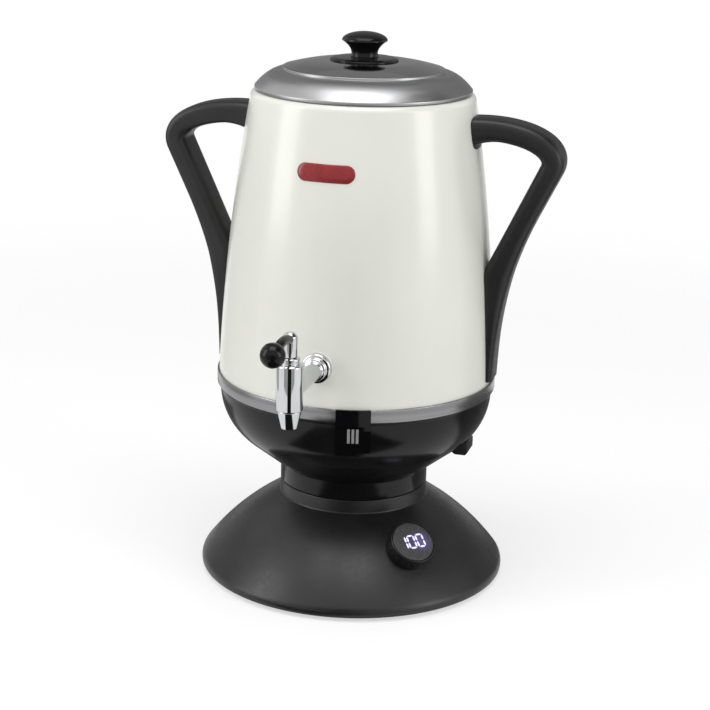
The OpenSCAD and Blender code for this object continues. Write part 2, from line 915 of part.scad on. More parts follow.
// The arm's middle line is a Bezier curve from the root to the start of the leg
arm_line = [arm_root, arm_root + arm_hold * [cos(arm_rise), sin(arm_rise)], leg_start - leg_hold * leg_dir, leg_start];
function arm_mid(t) =
    pow(1 - t, 3) * arm_line[0] + 3 * pow(1 - t, 2) * t * arm_line[1]
    + 3 * (1 - t) * t * t * arm_line[2] + pow(t, 3) * arm_line[3];
function arm_normal(t) =
    let (
        d = pow(1 - t, 2) * (arm_line[1] - arm_line[0]) + 2 * (1 - t) * t * (arm_line[2] - arm_line[1])
            + t * t * (arm_line[3] - arm_line[2])
    )
    [-d.y, d.x] / norm(d);
arm_steps = 18;
leg_steps = 5;
tail_steps = 8;
tail_start = bar(leg_end, leg_out, leg_t)[0];
tail_inner = bar(leg_end, leg_out, leg_t)[1];
// The inner edge of the leg, carried on in a straight line
function leg_inner(z) = tail_inner.x - (tail_inner.y - z) * tan(handle_lean);
function tail_outer(t) =
    let (z = mix(tail_start.y, tail_end_z, t), end_r = shell_at(tail_end_z) + free_gap + tail_end_t)
    [mix(tail_start.x, end_r, t) - tail_dip * sin(180 * t), z];
stations = concat(
    [for (i = [0:arm_steps]) let (
            t = i / arm_steps,
            edge = bar(arm_mid(t), arm_normal(t), mix(arm_t, leg_t + 0.7, t)))
        [edge[0], edge[1] - [0, root_swell * pow(max(0, 1 - 4 * t), 2)]]],
    [for (i = [1:leg_steps]) let (t = i / leg_steps)
        bar(leg_start + leg_dir * leg_run * t, leg_out, mix(leg_t + 0.7, leg_t, t))],
    [for (i = [1:tail_steps]) let (t = i / tail_steps, o = tail_outer(t))
        [o, [max(leg_inner(o.y), shell_at(o.y) - 3), o.y]]]
);
corner_n = 4;
section_points = 16;
// Rounded rectangle from -1 to 1 both ways, as a superellipse
function section(k) =
    let (a = 360 * (k + 0.5) / section_points, c = cos(a), s = sin(a),
        m = pow(pow(abs(c), corner_n) + pow(abs(s), corner_n), -1 / corner_n))
    [c * m, s * m];

module handle_bar() {
    count = len(stations);
    points = [for (st = stations, k = [0:section_points - 1]) let (
            u = section(k),
            m = (st[0] + st[1]) / 2,
            h = (st[0] - st[1]) / 2)
        [m.x + h.x * u.x, handle_w / 2 * u.y, m.y + h.y * u.x]];
    sides = [for (i = [0:count - 2], k = [0:section_points - 1]) let (
            k2 = (k + 1) % section_points,
            a = i * section_points + k, b = i * section_points + k2,
            c = b + section_points, d = a + section_points)
        each [[a, b, c], [a, c, d]]];
    ends = [
        [for (k = [section_points - 1:-1:0]) k],
        [for (k = [0:section_points - 1]) (count - 1) * section_points + k]
    ];
    polyhedron(points, concat(sides, ends));
}

module handle(side) {
    color("#19191b")
        difference() {
            rotate([0, 0, side > 0 ? 0 : 180])
                handle_bar();
            shell_solid(free_gap);
            for (z = [arm_screw_z, leg_screw_z])
                on_wall(z, side)
                    cylinder(r = handle_screw_r, h = z == arm_screw_z ? 16 : 9);
        }
}

module left_handle() {
    handle(-1);
}

module right_handle() {
    handle(1);
}

module handle_screws() {
    color("#8c8c8c")
        for (s = [-1, 1], z = [arm_screw_z, leg_screw_z])
            on_wall(z, s) {
                translate([0, 0, -shell_wall - handle_head_h - seat_gap])
                    cylinder(r = handle_head_r, h = handle_head_h);
                translate([0, 0, -shell_wall - handle_head_h])
                    cylinder(r = handle_screw_r - seat_gap, h = shell_wall + (z == arm_screw_z ? 16 : 9));
            }
}

module tap_body() {
    color("#cfd2d6")
        difference() {
            union() {
                along_tap(shank_r, tank_face - seal_t - nut_t - 4, -barrel_y);
                along_tap(flange_r, tap_face + seal_t, tap_face + seal_t + flange_t);
                along_tap(flange_r - 2.5, tap_face + seal_t, tap_face + seal_t + flange_t + 3);
                translate([0, barrel_y, tap_z - barrel_down])
                    cylinder(r = barrel_r, h = barrel_up + barrel_down);
            }
            along_tap(water_r, tank_face - seal_t - nut_t - 5, -barrel_y);
            translate([0, barrel_y, plug_foot_z])
                cylinder(r = plug_r + run_gap, h = barrel_up + barrel_down);
            translate([0, barrel_y, tap_z - barrel_down - 1])
                cylinder(r = water_r, h = barrel_down);
        }
}

// The stretch of wall behind the tap's flange, as a true cone at a distance from the shell's face
module tap_wall(off) {
    low = tap_z - flange_r - 1;
    high = tap_z + flange_r + 1;
    out = off / cos(side_a(side_t(tap_z)));
    translate([0, 0, low])
        cylinder(r1 = shell_at(low) + out, r2 = shell_at(high) + out, h = high - low, $fn = 360);
}

module tap_outer_seal() {
    color("#e3e1dc")
        difference() {
            along_tap(flange_r, tap_face - 3, tap_face + seal_t);
            along_tap(shank_r + seat_gap, tap_face - 4, tap_face + seal_t + 1);
            tap_wall(seat_gap);
        }
}

module tap_inner_seal() {
    color("#e3e1dc")
        difference() {
            intersection() {
                along_tap(flange_r, tank_face - seal_t, tank_face + 4);
                tap_wall(-tank_off - tank_wall - seat_gap);
            }
            along_tap(shank_r + seat_gap, tank_face - seal_t - 1, tank_face + 5);
        }
}

module tap_nut() {
    color("#b9bcc0")
        translate([0, -tank_face + seal_t, tap_z])
            rotate([-90, 0, 0])
                difference() {
                    cylinder(r = flange_r, h = nut_t, $fn = 6);
                    translate([0, 0, -1])
                        cylinder(r = shank_r + seat_gap, h = nut_t + 2);
                }
}

module tap_nozzle() {
    nozzle_top = tap_z - barrel_down;
    color("#cfd2d6")
        translate([0, barrel_y, 0])
            difference() {
                translate([0, 0, nozzle_top - nozzle_l])
                    cylinder(r1 = water_r + 2.2, r2 = barrel_r - 0.6, h = nozzle_l);
                translate([0, 0, nozzle_top - nozzle_l - 1])
                    cylinder(r = water_r, h = nozzle_l + 2);
            }
}

module gland_nut() {
    color("#cfd2d6")
        translate([0, barrel_y, tap_z + barrel_up])
            difference() {
                union() {
                    cylinder(r = gland_r, h = gland_h - 1);
                    translate([0, 0, gland_h - 1 - eps])
                        cylinder(r1 = gland_r, r2 = gland_r - 1, h = 1 + eps);
                }
                translate([0, 0, -1])
                    cylinder(r = stem_r + run_gap, h = gland_h + 2);
            }
}

// Plug with an elbow: water comes in from the side and leaves downwards
module valve_plug() {
    color("#b8a060")
        difference() {
            union() {
                translate([0, barrel_y, plug_foot_z + free_gap])
                    cylinder(r = plug_r, h = plug_top_z - plug_foot_z - free_gap);
                translate([0, barrel_y, plug_top_z - 1])
                    cylinder(r = stem_r, h = hub_z + hub_h - 2 - plug_top_z + 1);
            }
            translate([0, barrel_y, plug_foot_z - 1])
                cylinder(r = water_r, h = tap_z - plug_foot_z + 1);
            along_tap(water_r, -barrel_y - 2 * plug_r, -barrel_y);
            for (z = [tap_z + 6, tap_z + 12])
                translate([0, barrel_y, z])
                    rotate_extrude()
                        translate([plug_r, 0])
                            square([2.2, 2.2], center = true);
        }
}

module plug_seals() {
    color("#1a1a1a")
        for (z = [tap_z + 6, tap_z + 12])
            translate([0, barrel_y, z])
                rotate_extrude()
                    translate([plug_r - 0.5, 0])
                        circle(r = 0.5, $fn = 32);
}

// Arched rod from the hub to the ball
module lever_rod(r, extra) {
    translate([0, barrel_y - lever_reach / 2, lever_z + lever_rise - lever_curve])
        rotate([0, -90, 0])
            rotate([0, 0, -lever_sweep / 2 - extra])
                rotate_extrude(angle = lever_sweep + extra)
                    translate([lever_curve, 0])
                        circle(r = r, $fn = 48);
}

module lever_hub() {
    color("#cfd2d6")
        difference() {
            union() {
                translate([0, barrel_y, hub_z])
                    cylinder(r = hub_r, h = hub_h - 2);
                translate([0, barrel_y, hub_z + hub_h - 2 - eps])
                    cylinder(r1 = hub_r, r2 = hub_r - 1.6, h = 2 + eps);
            }
            translate([0, barrel_y, hub_z - 1])
                cylinder(r = stem_r + run_gap, h = hub_h - 1 + seat_gap);
            lever_rod(lever_r + run_gap, 0);
        }
}

module tap_lever() {
    color("#202022")
        difference() {
            lever_rod(lever_r, 0);
            translate([0, barrel_y, hub_z])
                cylinder(r = stem_r + run_gap, h = hub_h);
        }
}

module lever_ball() {
    color("#161618")
        difference() {
            translate([0, barrel_y - lever_l, lever_z])
                sphere(r = ball_r);
            lever_rod(lever_r + run_gap, 0.01);
        }
}

module switch_block() {
    color("#3a3a3c")
        translate([pivot_x - 22, -ear_y, pivot_z - 5])
            cube([16, 2 * ear_y, 13]);
}

module switch_pin() {
    color("#a8a8a8")
        translate([pivot_x, 0, pivot_z])
            rotate([90, 0, 0])
                cylinder(r = pin_r, h = 2 * (ear_y + ear_t), center = true);
}

module switch_paddle() {
    color("#1d1d1f")
        difference() {
            union() {
                translate([pivot_x, 0, pivot_z])
                    rotate([90, 0, 0])
                        cylinder(r = sleeve_r, h = paddle_w - 2, center = true);
                translate([pivot_x, -paddle_w / 4, pivot_z - 2.5])
                    cube([paddle_x - pivot_x - 4, paddle_w / 2, 5]);
                translate([0, paddle_w / 2, 0])
                    rotate([90, 0, 0])
                        linear_extrude(height = paddle_w)
                            polygon([
                                [paddle_x - 12, paddle_z + 2], [paddle_x - 9, paddle_z],
                                [paddle_x - 1.5, paddle_z], [paddle_x, paddle_z + 1.5],
                                [paddle_x, paddle_z + paddle_h - 1],
                                [paddle_x - 1, paddle_z + paddle_h],
                                [paddle_x - 6, paddle_z + paddle_h]
                            ]);
            }
            translate([pivot_x, 0, pivot_z])
                rotate([90, 0, 0])
                    cylinder(r = pin_r + run_gap, h = paddle_w + 2, center = true);
        }
}

// Half outline of the lid's sheet, from the rim to the flat seat of the knob
function lid_line(off) =
    concat(
        [for (i = [0:10]) let (
                u = i / 10,
                fall = slope_power * pow(1 - u, slope_power - 1) * slope_h / (lid_r - step_r),
                lean = atan(fall))
            [mix(lid_r, step_r, u) - off * sin(lean),
                slope_z + slope_h * (1 - pow(1 - u, slope_power)) - off * cos(lean)]],
        [for (i = [0:6]) let (t = i / 6)
            [mix(step_r - off, skirt_r + 2, t), step_z + step_h + crown_h * sin(90 * t) - off]]
    );

module lid_dome() {
    color("#a9acb0")
        difference() {
            revolve(concat(
                [[lid_r - lid_t, rim_z], [lid_r, rim_z]],
                lid_line(0),
                [[0, crown_z], [0, crown_z - lid_t]],
                reverse(lid_line(lid_t))
            ));
            translate([0, 0, crown_z - lid_t - 1])
                cylinder(r = knob_screw_r + seat_gap, h = lid_t + 2);
        }
}

module lid_liner() {
    color("#2c2c2e")
        difference() {
            union() {
                ring(lid_r - lid_t - seat_gap, lip_r - 2, rim_z, rim_z + liner_t);
                ring(lip_r, lip_r - 2, rim_z - lip_depth, rim_z + liner_t);
            }
            translate([0, 0, bead_z])
                rotate_extrude()
                    translate([lip_r, 0])
                        circle(r = seal_bead_r + seat_gap, $fn = 32);
        }
}

module lid_seal() {
    color("#d5d5d5")
        translate([0, 0, bead_z])
            rotate_extrude()
                translate([lip_r, 0])
                    circle(r = seal_bead_r, $fn = 32);
}

module knob_skirt() {
    color("#141416")
        difference() {
            revolve([[0, crown_z], [skirt_r, crown_z], [skirt_r, crown_z + skirt_h * 0.4],
                [skirt_r - skirt_edge, crown_z + skirt_h * 0.75], [knob_neck_r + skirt_edge, knob_z], [0, knob_z]]);
            translate([0, 0, crown_z - 1])
                cylinder(r = knob_screw_r + seat_gap, h = skirt_h + 2);
        }
}

module lid_knob() {
    head_z = knob_z + knob_h * 0.64;
    color("#141416")
        difference() {
            revolve(concat(
                [[0, knob_z], [knob_neck_r + 1.5, knob_z]],
                [for (i = [1:8]) let (t = i / 8)
                    [mix(knob_neck_r, knob_r, pow(t, 2.2)) + 1.5 * pow(1 - t, 3), mix(knob_z, head_z, t)]],
                [for (i = [1:8]) let (a = 90 * i / 8)
                    [knob_r * cos(a), head_z + (knob_z + knob_h - head_z) * sin(a)]]
            ));
            translate([0, 0, knob_z - 1])
                cylinder(r = knob_screw_r, h = knob_h * 0.6 + 1);
        }
}

module knob_screw() {
    color("#9a9a9a")
        union() {
            translate([0, 0, crown_z - lid_t - 1 - 2.4])
                cylinder(r = 4, h = 2.4);
            translate([0, 0, crown_z - lid_t - 2])
                cylinder(r = knob_screw_r - seat_gap, h = knob_z - crown_z + lid_t + 2 + knob_h * 0.5);
        }
}

module knob_washer() {
    color("#b5b5b5")
        ring(6.5, knob_screw_r + seat_gap, crown_z - lid_t - 1, crown_z - lid_t);
}

base_shell();
base_cover();
cover_screws();
foot_ring();
cord_gland();
power_post();
control_board();
board_screws();
display_turret();
display_board();
display_lens();
control_dial();
power_socket();
bowl();
trim_band();
indicator_panel();
indicator_lamps();
outer_shell();
shell_screws();
inner_tank();
rim_gasket();
tank_pads();
heater_plate();
heating_element();
thermostat();
thermal_fuse();
left_handle();
right_handle();
handle_screws();
tap_body();
tap_outer_seal();
tap_inner_seal();
tap_nut();
tap_nozzle();
gland_nut();
valve_plug();
plug_seals();
tap_lever();
lever_hub();
lever_ball();
switch_block();
switch_pin();
switch_paddle();
lid_dome();
lid_liner();
lid_seal();
knob_skirt();
lid_knob();
knob_screw();
knob_washer();
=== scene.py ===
# %% [markdown]
# # An electric samovar
# The object is an enamelled water vessel with a steel lid, two black handles and a chrome tap. The vessel
# sits in a glossy black bowl, and the bowl stands on a domed base that carries the control dial. The packed
# CAD model is the frame: it gives the main sizes and places, so it is loaded first and each visible piece
# is made where its solid is.

# %% Load the frame
import math

import bmesh
import bpy
from mathutils import Matrix, Vector


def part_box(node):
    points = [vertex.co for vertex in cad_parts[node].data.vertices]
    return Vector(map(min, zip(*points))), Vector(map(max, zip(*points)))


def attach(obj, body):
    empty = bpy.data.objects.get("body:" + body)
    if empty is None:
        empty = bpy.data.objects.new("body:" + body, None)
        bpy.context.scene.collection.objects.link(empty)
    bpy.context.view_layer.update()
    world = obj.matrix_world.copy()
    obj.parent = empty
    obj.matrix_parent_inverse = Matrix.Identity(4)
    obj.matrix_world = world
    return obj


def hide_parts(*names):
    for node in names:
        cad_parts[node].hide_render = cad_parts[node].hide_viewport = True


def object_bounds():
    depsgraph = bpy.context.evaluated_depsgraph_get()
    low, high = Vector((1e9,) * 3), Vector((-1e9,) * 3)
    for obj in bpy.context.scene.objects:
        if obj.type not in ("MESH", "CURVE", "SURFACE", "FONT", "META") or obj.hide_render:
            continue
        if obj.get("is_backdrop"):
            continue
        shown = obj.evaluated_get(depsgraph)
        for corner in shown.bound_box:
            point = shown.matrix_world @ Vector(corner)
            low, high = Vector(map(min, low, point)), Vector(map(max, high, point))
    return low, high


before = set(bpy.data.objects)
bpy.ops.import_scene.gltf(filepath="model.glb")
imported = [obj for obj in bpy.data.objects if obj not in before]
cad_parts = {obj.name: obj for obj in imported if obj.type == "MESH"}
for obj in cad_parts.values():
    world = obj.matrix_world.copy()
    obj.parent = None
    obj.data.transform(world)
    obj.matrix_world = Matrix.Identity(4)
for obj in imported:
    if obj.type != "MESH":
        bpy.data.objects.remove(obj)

MM = 0.001
MICRON = 0.000001
UP = Vector((0, 0, 1))
scene = bpy.context.scene
cad_low, cad_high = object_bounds()

# %% [markdown]
# ## The camera
# A product picture is taken with a long lens from a little above, so that upright lines stay almost
# upright. A camera could be placed by eye, but here it was worked out from the ellipses of the lid, band
# and base: where it stands, how far it dips, and the small roll that leans the object to the right. The
# focal length is known in pixels of a square picture, which a sensor width turns into millimetres.

# %% Camera
PICTURE_PIXELS = 710
FOCAL_PIXELS = 1800
SENSOR_W = 36
CAMERA_AT = Vector((332.7, -1216.3, 540.0)) * MM
CAMERA_DIP = math.radians(16.72)
CAMERA_ROLL = math.radians(1.5)
CAMERA_PAN = 1.7 / FOCAL_PIXELS


def place_camera():
    data = bpy.data.cameras.new("camera")
    data.sensor_width = SENSOR_W
    data.lens = SENSOR_W * FOCAL_PIXELS / PICTURE_PIXELS
    ahead = Vector((-CAMERA_AT.x, -CAMERA_AT.y, 0)).normalized()
    side = ahead.cross(UP)
    sight = ahead * math.cos(CAMERA_DIP) - UP * math.sin(CAMERA_DIP)
    top = side.cross(sight)
    right = side * math.cos(CAMERA_ROLL) + top * math.sin(CAMERA_ROLL)
    upright = top * math.cos(CAMERA_ROLL) - side * math.sin(CAMERA_ROLL)
    aim = sight * math.cos(CAMERA_PAN) - right * math.sin(CAMERA_PAN)
    right = right * math.cos(CAMERA_PAN) + sight * math.sin(CAMERA_PAN)
    camera = bpy.data.objects.new("camera", data)
    turned_frame = Matrix((right, upright, -aim)).transposed().to_4x4()
    camera.matrix_world = Matrix.Translation(CAMERA_AT) @ turned_frame
    scene.collection.objects.link(camera)
    scene.camera = camera
    return camera


camera = place_camera()
print("camera: lens", round(camera.data.lens, 2), "mm")

# %% [markdown]
# ## Node trees in short lines
# Materials and Geometry Nodes are both trees of nodes, and both are tedious to wire by hand. One helper
# makes a node, sets its options and feeds each input, either with a plain value or with another node's
# output. The other helpers are short forms of it for the nodes that come up most.


# %% Helpers for every node tree
def add(tree, kind, feeds=None, **settings):
    node = tree.nodes.new(kind)
    for key, value in settings.items():
        setattr(node, key, value)
    for key, value in (feeds or {}).items():
        if isinstance(value, bpy.types.NodeSocket):
            tree.links.new(value, node.inputs[key])
        else:
            node.inputs[key].default_value = value
    return node


def out(tree, kind, feeds=None, **settings):
    return add(tree, kind, feeds, **settings).outputs[0]


def maths(tree, operation, first, second=0.0):
    return out(tree, "ShaderNodeMath", {0: first, 1: second}, operation=operation)


def vector(tree, x=0.0, y=0.0, z=0.0):
    return out(tree, "ShaderNodeCombineXYZ", {0: x, 1: y, 2: z})


def length(tree, source):
    return add(tree, "ShaderNodeVectorMath", {0: source}, operation="LENGTH").outputs["Value"]


def object_place(tree):
    return add(tree, "ShaderNodeTexCoord").outputs["Object"]


# %% [markdown]
# ## Floor, backdrop and light
# The set is a pale floor that fades into a white backdrop. The fade could be a curved sheet of paper, but a
# disc whose rim turns transparent also works from any side and from above. A Light Path node lets the
# camera and mirror-like rays see the backdrop as white, while the light that falls on the object stays at a
# plain level. Soft boxes stand on both sides and overhead, and cards that only mirrors can see give
# polished metal something dark to show.

# %% Backdrop
WHITE = (1, 1, 1, 1)
AMBIENT = 0.52
scene.view_settings.view_transform = "Standard"


def seen_directly(tree):
    path = add(tree, "ShaderNodeLightPath").outputs
    mirrored = maths(tree, "MAXIMUM", path["Is Glossy Ray"], path["Is Transmission Ray"])
    return maths(tree, "MAXIMUM", path["Is Camera Ray"], mirrored)


def mixed(tree, share, first, second):
    return out(tree, "ShaderNodeMixShader", {0: share, 1: first, 2: second})


def make_world():
    world = bpy.data.worlds.new("backdrop")
    world.use_nodes = True
    tree = world.node_tree
    tree.nodes.clear()
    ambient = out(tree, "ShaderNodeBackground", {"Color": WHITE, "Strength": AMBIENT})
    white = out(tree, "ShaderNodeBackground", {"Color": WHITE, "Strength": 1.0})
    add(tree, "ShaderNodeOutputWorld", {"Surface": mixed(tree, seen_directly(tree), ambient, white)})
    scene.world = world


make_world()
print("backdrop: ambient light", AMBIENT)

# %% Floor
FLOOR_R = 1.6
FLOOR_SIDES = 64
FADE_START = 0.45
FADE_END = 1.3
PAPER_TONE = 0.86
SHADE_TONE = 0.43
FLOOR_GLOW = 0.59


def bare_material(name):
    material = bpy.data.materials.new(name)
    material.use_nodes = True
    material.node_tree.nodes.clear()
    return material, material.node_tree


def floor_finish():
    material, tree = bare_material("pale_floor")
    paper = out(tree, "ShaderNodeBsdfDiffuse", {"Color": (PAPER_TONE, PAPER_TONE, PAPER_TONE, 1)})
    shade = out(tree, "ShaderNodeBsdfDiffuse", {"Color": (SHADE_TONE, SHADE_TONE, SHADE_TONE, 1)})
    glow = out(tree, "ShaderNodeEmission", {"Color": WHITE, "Strength": FLOOR_GLOW})
    lit = out(tree, "ShaderNodeAddShader", {0: shade, 1: glow})
    near = mixed(tree, seen_directly(tree), paper, lit)
    fade = out(tree, "ShaderNodeMapRange", {
        "Value": length(tree, object_place(tree)), "From Min": FADE_START, "From Max": FADE_END,
    }, interpolation_type="SMOOTHSTEP")
    clear = out(tree, "ShaderNodeBsdfTransparent")
    add(tree, "ShaderNodeOutputMaterial", {"Surface": mixed(tree, fade, near, clear)})
    return material


def mesh_of(name, shape):
    mesh = bpy.data.meshes.new(name)
    shape.to_mesh(mesh)
    shape.free()
    return mesh


def piece_of(name, mesh, finish=None):
    if finish is not None:
        mesh.materials.clear()
        mesh.materials.append(finish)
    piece = bpy.data.objects.new(name, mesh)
    scene.collection.objects.link(piece)
    return piece


def make_floor():
    shape = bmesh.new()
    bmesh.ops.create_circle(shape, cap_ends=True, radius=FLOOR_R, segments=FLOOR_SIDES)
    floor = piece_of("floor", mesh_of("floor", shape), floor_finish())
    floor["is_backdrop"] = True


make_floor()
print("floor:", 2 * FLOOR_R, "m across")

# %% Soft boxes and mirror cards
AIM = Vector((0, 0, 0.22))


def facing(at, aim, axis):
    place = Vector(at)
    return Matrix.Translation(place) @ (aim - place).to_track_quat(axis, "Y").to_matrix().to_4x4()


def soft_box(name, at, width, height, watts):
    data = bpy.data.lights.new(name, "AREA")
    data.shape = "RECTANGLE"
    data.size = width
    data.size_y = height
    data.energy = watts
    lamp = bpy.data.objects.new(name, data)
    lamp.matrix_world = facing(at, AIM, "-Z")
    scene.collection.objects.link(lamp)
    print("soft box", name, "at", at)


soft_box("left_box", (-1.25, -0.75, 0.75), 0.6, 1.2, 8.0)
soft_box("right_box", (1.45, -0.35, 0.7), 0.5, 1.1, 6.6)
soft_box("top_box", (0.05, -0.35, 1.55), 1.1, 0.8, 9.0)


def mirror_card(name, at, width, height, tone, flat=False):
    shape = bmesh.new()
    bmesh.ops.create_grid(shape, x_segments=1, y_segments=1, size=0.5)
    bmesh.ops.scale(shape, vec=(width, height, 1), verts=shape.verts)
    shape.transform(facing(at, Vector(at) + UP if flat else AIM, "Z"))
    material, tree = bare_material(name)
    glow = out(tree, "ShaderNodeEmission", {"Color": WHITE, "Strength": tone})
    add(tree, "ShaderNodeOutputMaterial", {"Surface": glow})
    card = piece_of(name, mesh_of(name, shape), material)
    card.visible_camera = False
    card.visible_diffuse = False
    card.visible_shadow = False
    card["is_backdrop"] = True
    print("mirror card", name, "at", at)


mirror_card("near_card", (0.056, -0.36, 0.13), 0.11, 0.27, 0.01)
mirror_card("near_grey_card", (0.07, -0.42, 0.19), 0.5, 0.2, 0.42)
mirror_card("low_card", (0.03, -0.2825, 0.002), 0.26, 0.335, 0.01, flat=True)
mirror_card("right_card", (0.8, 0.1, 1.15), 1.0, 0.9, 0.1)
mirror_card("left_low_card", (-0.55, 0.08, 0.16), 0.55, 0.34, 0.5)
mirror_card("right_low_card", (0.4, 0.38, 0.18), 0.5, 0.36, 0.3)
mirror_card("floor_card", (0.1, 0.25, 0.002), 0.9, 0.36, 0.16, flat=True)
mirror_card("back_card", (-0.3, 2.0, 0.85), 3.6, 1.5, 0.28)
mirror_card("sky_card", (0.0, 1.15, 1.8), 3.4, 1.3, 0.35)

# %% [markdown]
# ## Finishes
# No surface of a real product is one flat colour. Paint has a faint orange-peel ripple, moulded plastic has
# a fine grain, and brushed steel has lines that follow the way it was turned. An image could hold that, but
# a pattern made by nodes has no seams and no edge, so each finish mixes noises at the scale of the real
# thing. All patterns read Object coordinates, which are metres here, so a scale of 1000 makes features
# about a millimetre wide.

# %% Noise, tint and bump
NOISE_LOW = 0.3
NOISE_HIGH = 0.7


def noise(tree, place, cells, detail=3.0):
    return out(tree, "ShaderNodeTexNoise", {"Vector": place, "Scale": cells, "Detail": detail})


def spread(tree, source, least, most):
    return out(tree, "ShaderNodeMapRange", {
        "Value": source, "From Min": NOISE_LOW, "From Max": NOISE_HIGH, "To Min": least, "To Max": most,
    })


def tint(tree, source, dark, light):
    ramp = add(tree, "ShaderNodeValToRGB", {0: source})
    first, last = ramp.color_ramp.elements
    first.position = NOISE_LOW
    first.color = (*dark, 1)
    last.position = NOISE_HIGH
    last.color = (*light, 1)
    return ramp.outputs[0]


def ripple(tree, height, microns):
    return out(tree, "ShaderNodeBump", {"Height": height, "Strength": 1.0, "Distance": microns * MICRON})


def new_finish(name, **sockets):
    material = bpy.data.materials.new(name)
    material.use_nodes = True
    shader = material.node_tree.nodes["Principled BSDF"]
    for key, value in sockets.items():
        shader.inputs[key.replace("_", " ")].default_value = value
    return material, material.node_tree, shader


def feed(shader, **sources):
    for key, source in sources.items():
        shader.id_data.links.new(source, shader.inputs[key.replace("_", " ")])


# %% [markdown]
# Three kinds of finish cover most of the object. A grained finish is for enamel, plastic, rubber and board:
# a slow noise shifts its colour, a middle one its gloss, and a fine one its surface. A brushed finish draws
# rings round the upright axis, because the lid, band and tank are spun or rolled. A polished finish only
# smears its gloss a little, as handled chrome does.

# %% Three kinds of finish
SLOW = 1 / 40
MIDDLE = 1 / 6
STREAKS = 2.5
BAND_CELLS = 0.12
SMEAR_CELLS = 30
HANDLING_CELLS = 140


def grained(name, dark, light, rough, cells, microns, **sockets):
    material, tree, shader = new_finish(name, **sockets)
    place = object_place(tree)
    feed(
        shader,
        Base_Color=tint(tree, noise(tree, place, cells * SLOW), dark, light),
        Roughness=spread(tree, noise(tree, place, cells * MIDDLE), *rough),
        Normal=ripple(tree, noise(tree, place, cells, detail=2.0), microns),
    )
    return material


def brushed(name, dark, light, rough, rings, microns, **sockets):
    material, tree, shader = new_finish(name, Metallic=1.0, **sockets)
    x, y, z = add(tree, "ShaderNodeSeparateXYZ", {0: object_place(tree)}).outputs
    radius = length(tree, vector(tree, x, y))
    around = maths(tree, "MULTIPLY", maths(tree, "ARCTAN2", y, x), STREAKS)
    outward = maths(tree, "MULTIPLY", maths(tree, "ADD", radius, z), rings)
    unrolled = vector(tree, outward, around)
    lines = noise(tree, unrolled, 1.0, detail=4.0)
    feed(
        shader,
        Base_Color=tint(tree, noise(tree, unrolled, BAND_CELLS, detail=2.0), dark, light),
        Roughness=spread(tree, lines, *rough),
        Normal=ripple(tree, lines, microns),
        Tangent=out(tree, "ShaderNodeTangent", direction_type="RADIAL", axis="Z"),
    )
    return material


def polished(name, dark, light, rough):
    material, tree, shader = new_finish(name, Metallic=1.0)
    place = object_place(tree)
    feed(
        shader,
        Base_Color=tint(tree, noise(tree, place, SMEAR_CELLS), dark, light),
        Roughness=spread(tree, noise(tree, place, HANDLING_CELLS, detail=4.0), *rough),
    )
    return material


# %% Metals
lid_steel = brushed(
    "spun_steel", (0.30, 0.30, 0.305), (0.38, 0.38, 0.385), (0.28, 0.38), 1500, 3, Anisotropic=0.3)
crown_steel = brushed(
    "polished_crown", (0.34, 0.34, 0.345), (0.42, 0.42, 0.425), (0.08, 0.13), 1500, 1)
band_steel = brushed(
    "rolled_steel", (0.22, 0.22, 0.225), (0.32, 0.32, 0.325), (0.16, 0.28), 2200, 6, Anisotropic=0.3)
tank_steel = brushed(
    "drawn_steel", (0.72, 0.72, 0.715), (0.82, 0.82, 0.815), (0.30, 0.44), 1800, 10, Anisotropic=0.3)
chrome = polished("tap_chrome", (0.56, 0.565, 0.575), (0.66, 0.665, 0.68), (0.05, 0.11))
fastener = polished("screw_steel", (0.42, 0.42, 0.43), (0.52, 0.52, 0.53), (0.25, 0.40))
brass = polished("plug_brass", (0.62, 0.46, 0.20), (0.72, 0.56, 0.28), (0.16, 0.28))
aluminium = polished("cast_aluminium", (0.52, 0.53, 0.54), (0.62, 0.63, 0.64), (0.35, 0.52))
element = polished("heated_steel", (0.24, 0.22, 0.21), (0.38, 0.36, 0.35), (0.32, 0.48))
print("metals:", lid_steel.name, "to", element.name)

# %% Enamel, plastics, rubber and board
enamel = grained(
    "cream_enamel", (0.74, 0.745, 0.68), (0.78, 0.785, 0.72), (0.28, 0.36), 420, 30,
    Coat_Weight=0.55, Coat_Roughness=0.16)
bowl_black = grained(
    "bowl_gloss", (0.004, 0.004, 0.0045), (0.008, 0.008, 0.0085), (0.14, 0.22), 500, 8,
    Specular_IOR_Level=0.26)
panel_black = grained(
    "panel_gloss", (0.003, 0.003, 0.0035), (0.005, 0.005, 0.0055), (0.06, 0.11), 700, 2,
    Specular_IOR_Level=0.2)
base_black = grained(
    "base_satin", (0.007, 0.007, 0.0073), (0.012, 0.012, 0.0125), (0.32, 0.42), 2400, 20,
    Specular_IOR_Level=0.46)
grip_black = grained(
    "handle_grain", (0.005, 0.005, 0.0053), (0.010, 0.010, 0.0105), (0.34, 0.46), 1700, 50,
    Specular_IOR_Level=0.4)
knob_black = grained(
    "knob_gloss", (0.004, 0.004, 0.0042), (0.007, 0.007, 0.0073), (0.14, 0.22), 900, 5,
    Specular_IOR_Level=0.2)
dial_black = grained(
    "dial_satin", (0.006, 0.006, 0.0063), (0.011, 0.011, 0.0115), (0.26, 0.36), 2000, 10,
    Specular_IOR_Level=0.3)
rubber = grained("foot_rubber", (0.010, 0.010, 0.010), (0.020, 0.020, 0.020), (0.62, 0.78), 1500, 50)
silicone = grained("seal_silicone", (0.62, 0.61, 0.58), (0.70, 0.69, 0.66), (0.48, 0.60), 900, 20)
ceramic = grained("terminal_ceramic", (0.68, 0.65, 0.58), (0.76, 0.73, 0.66), (0.50, 0.62), 1200, 20)
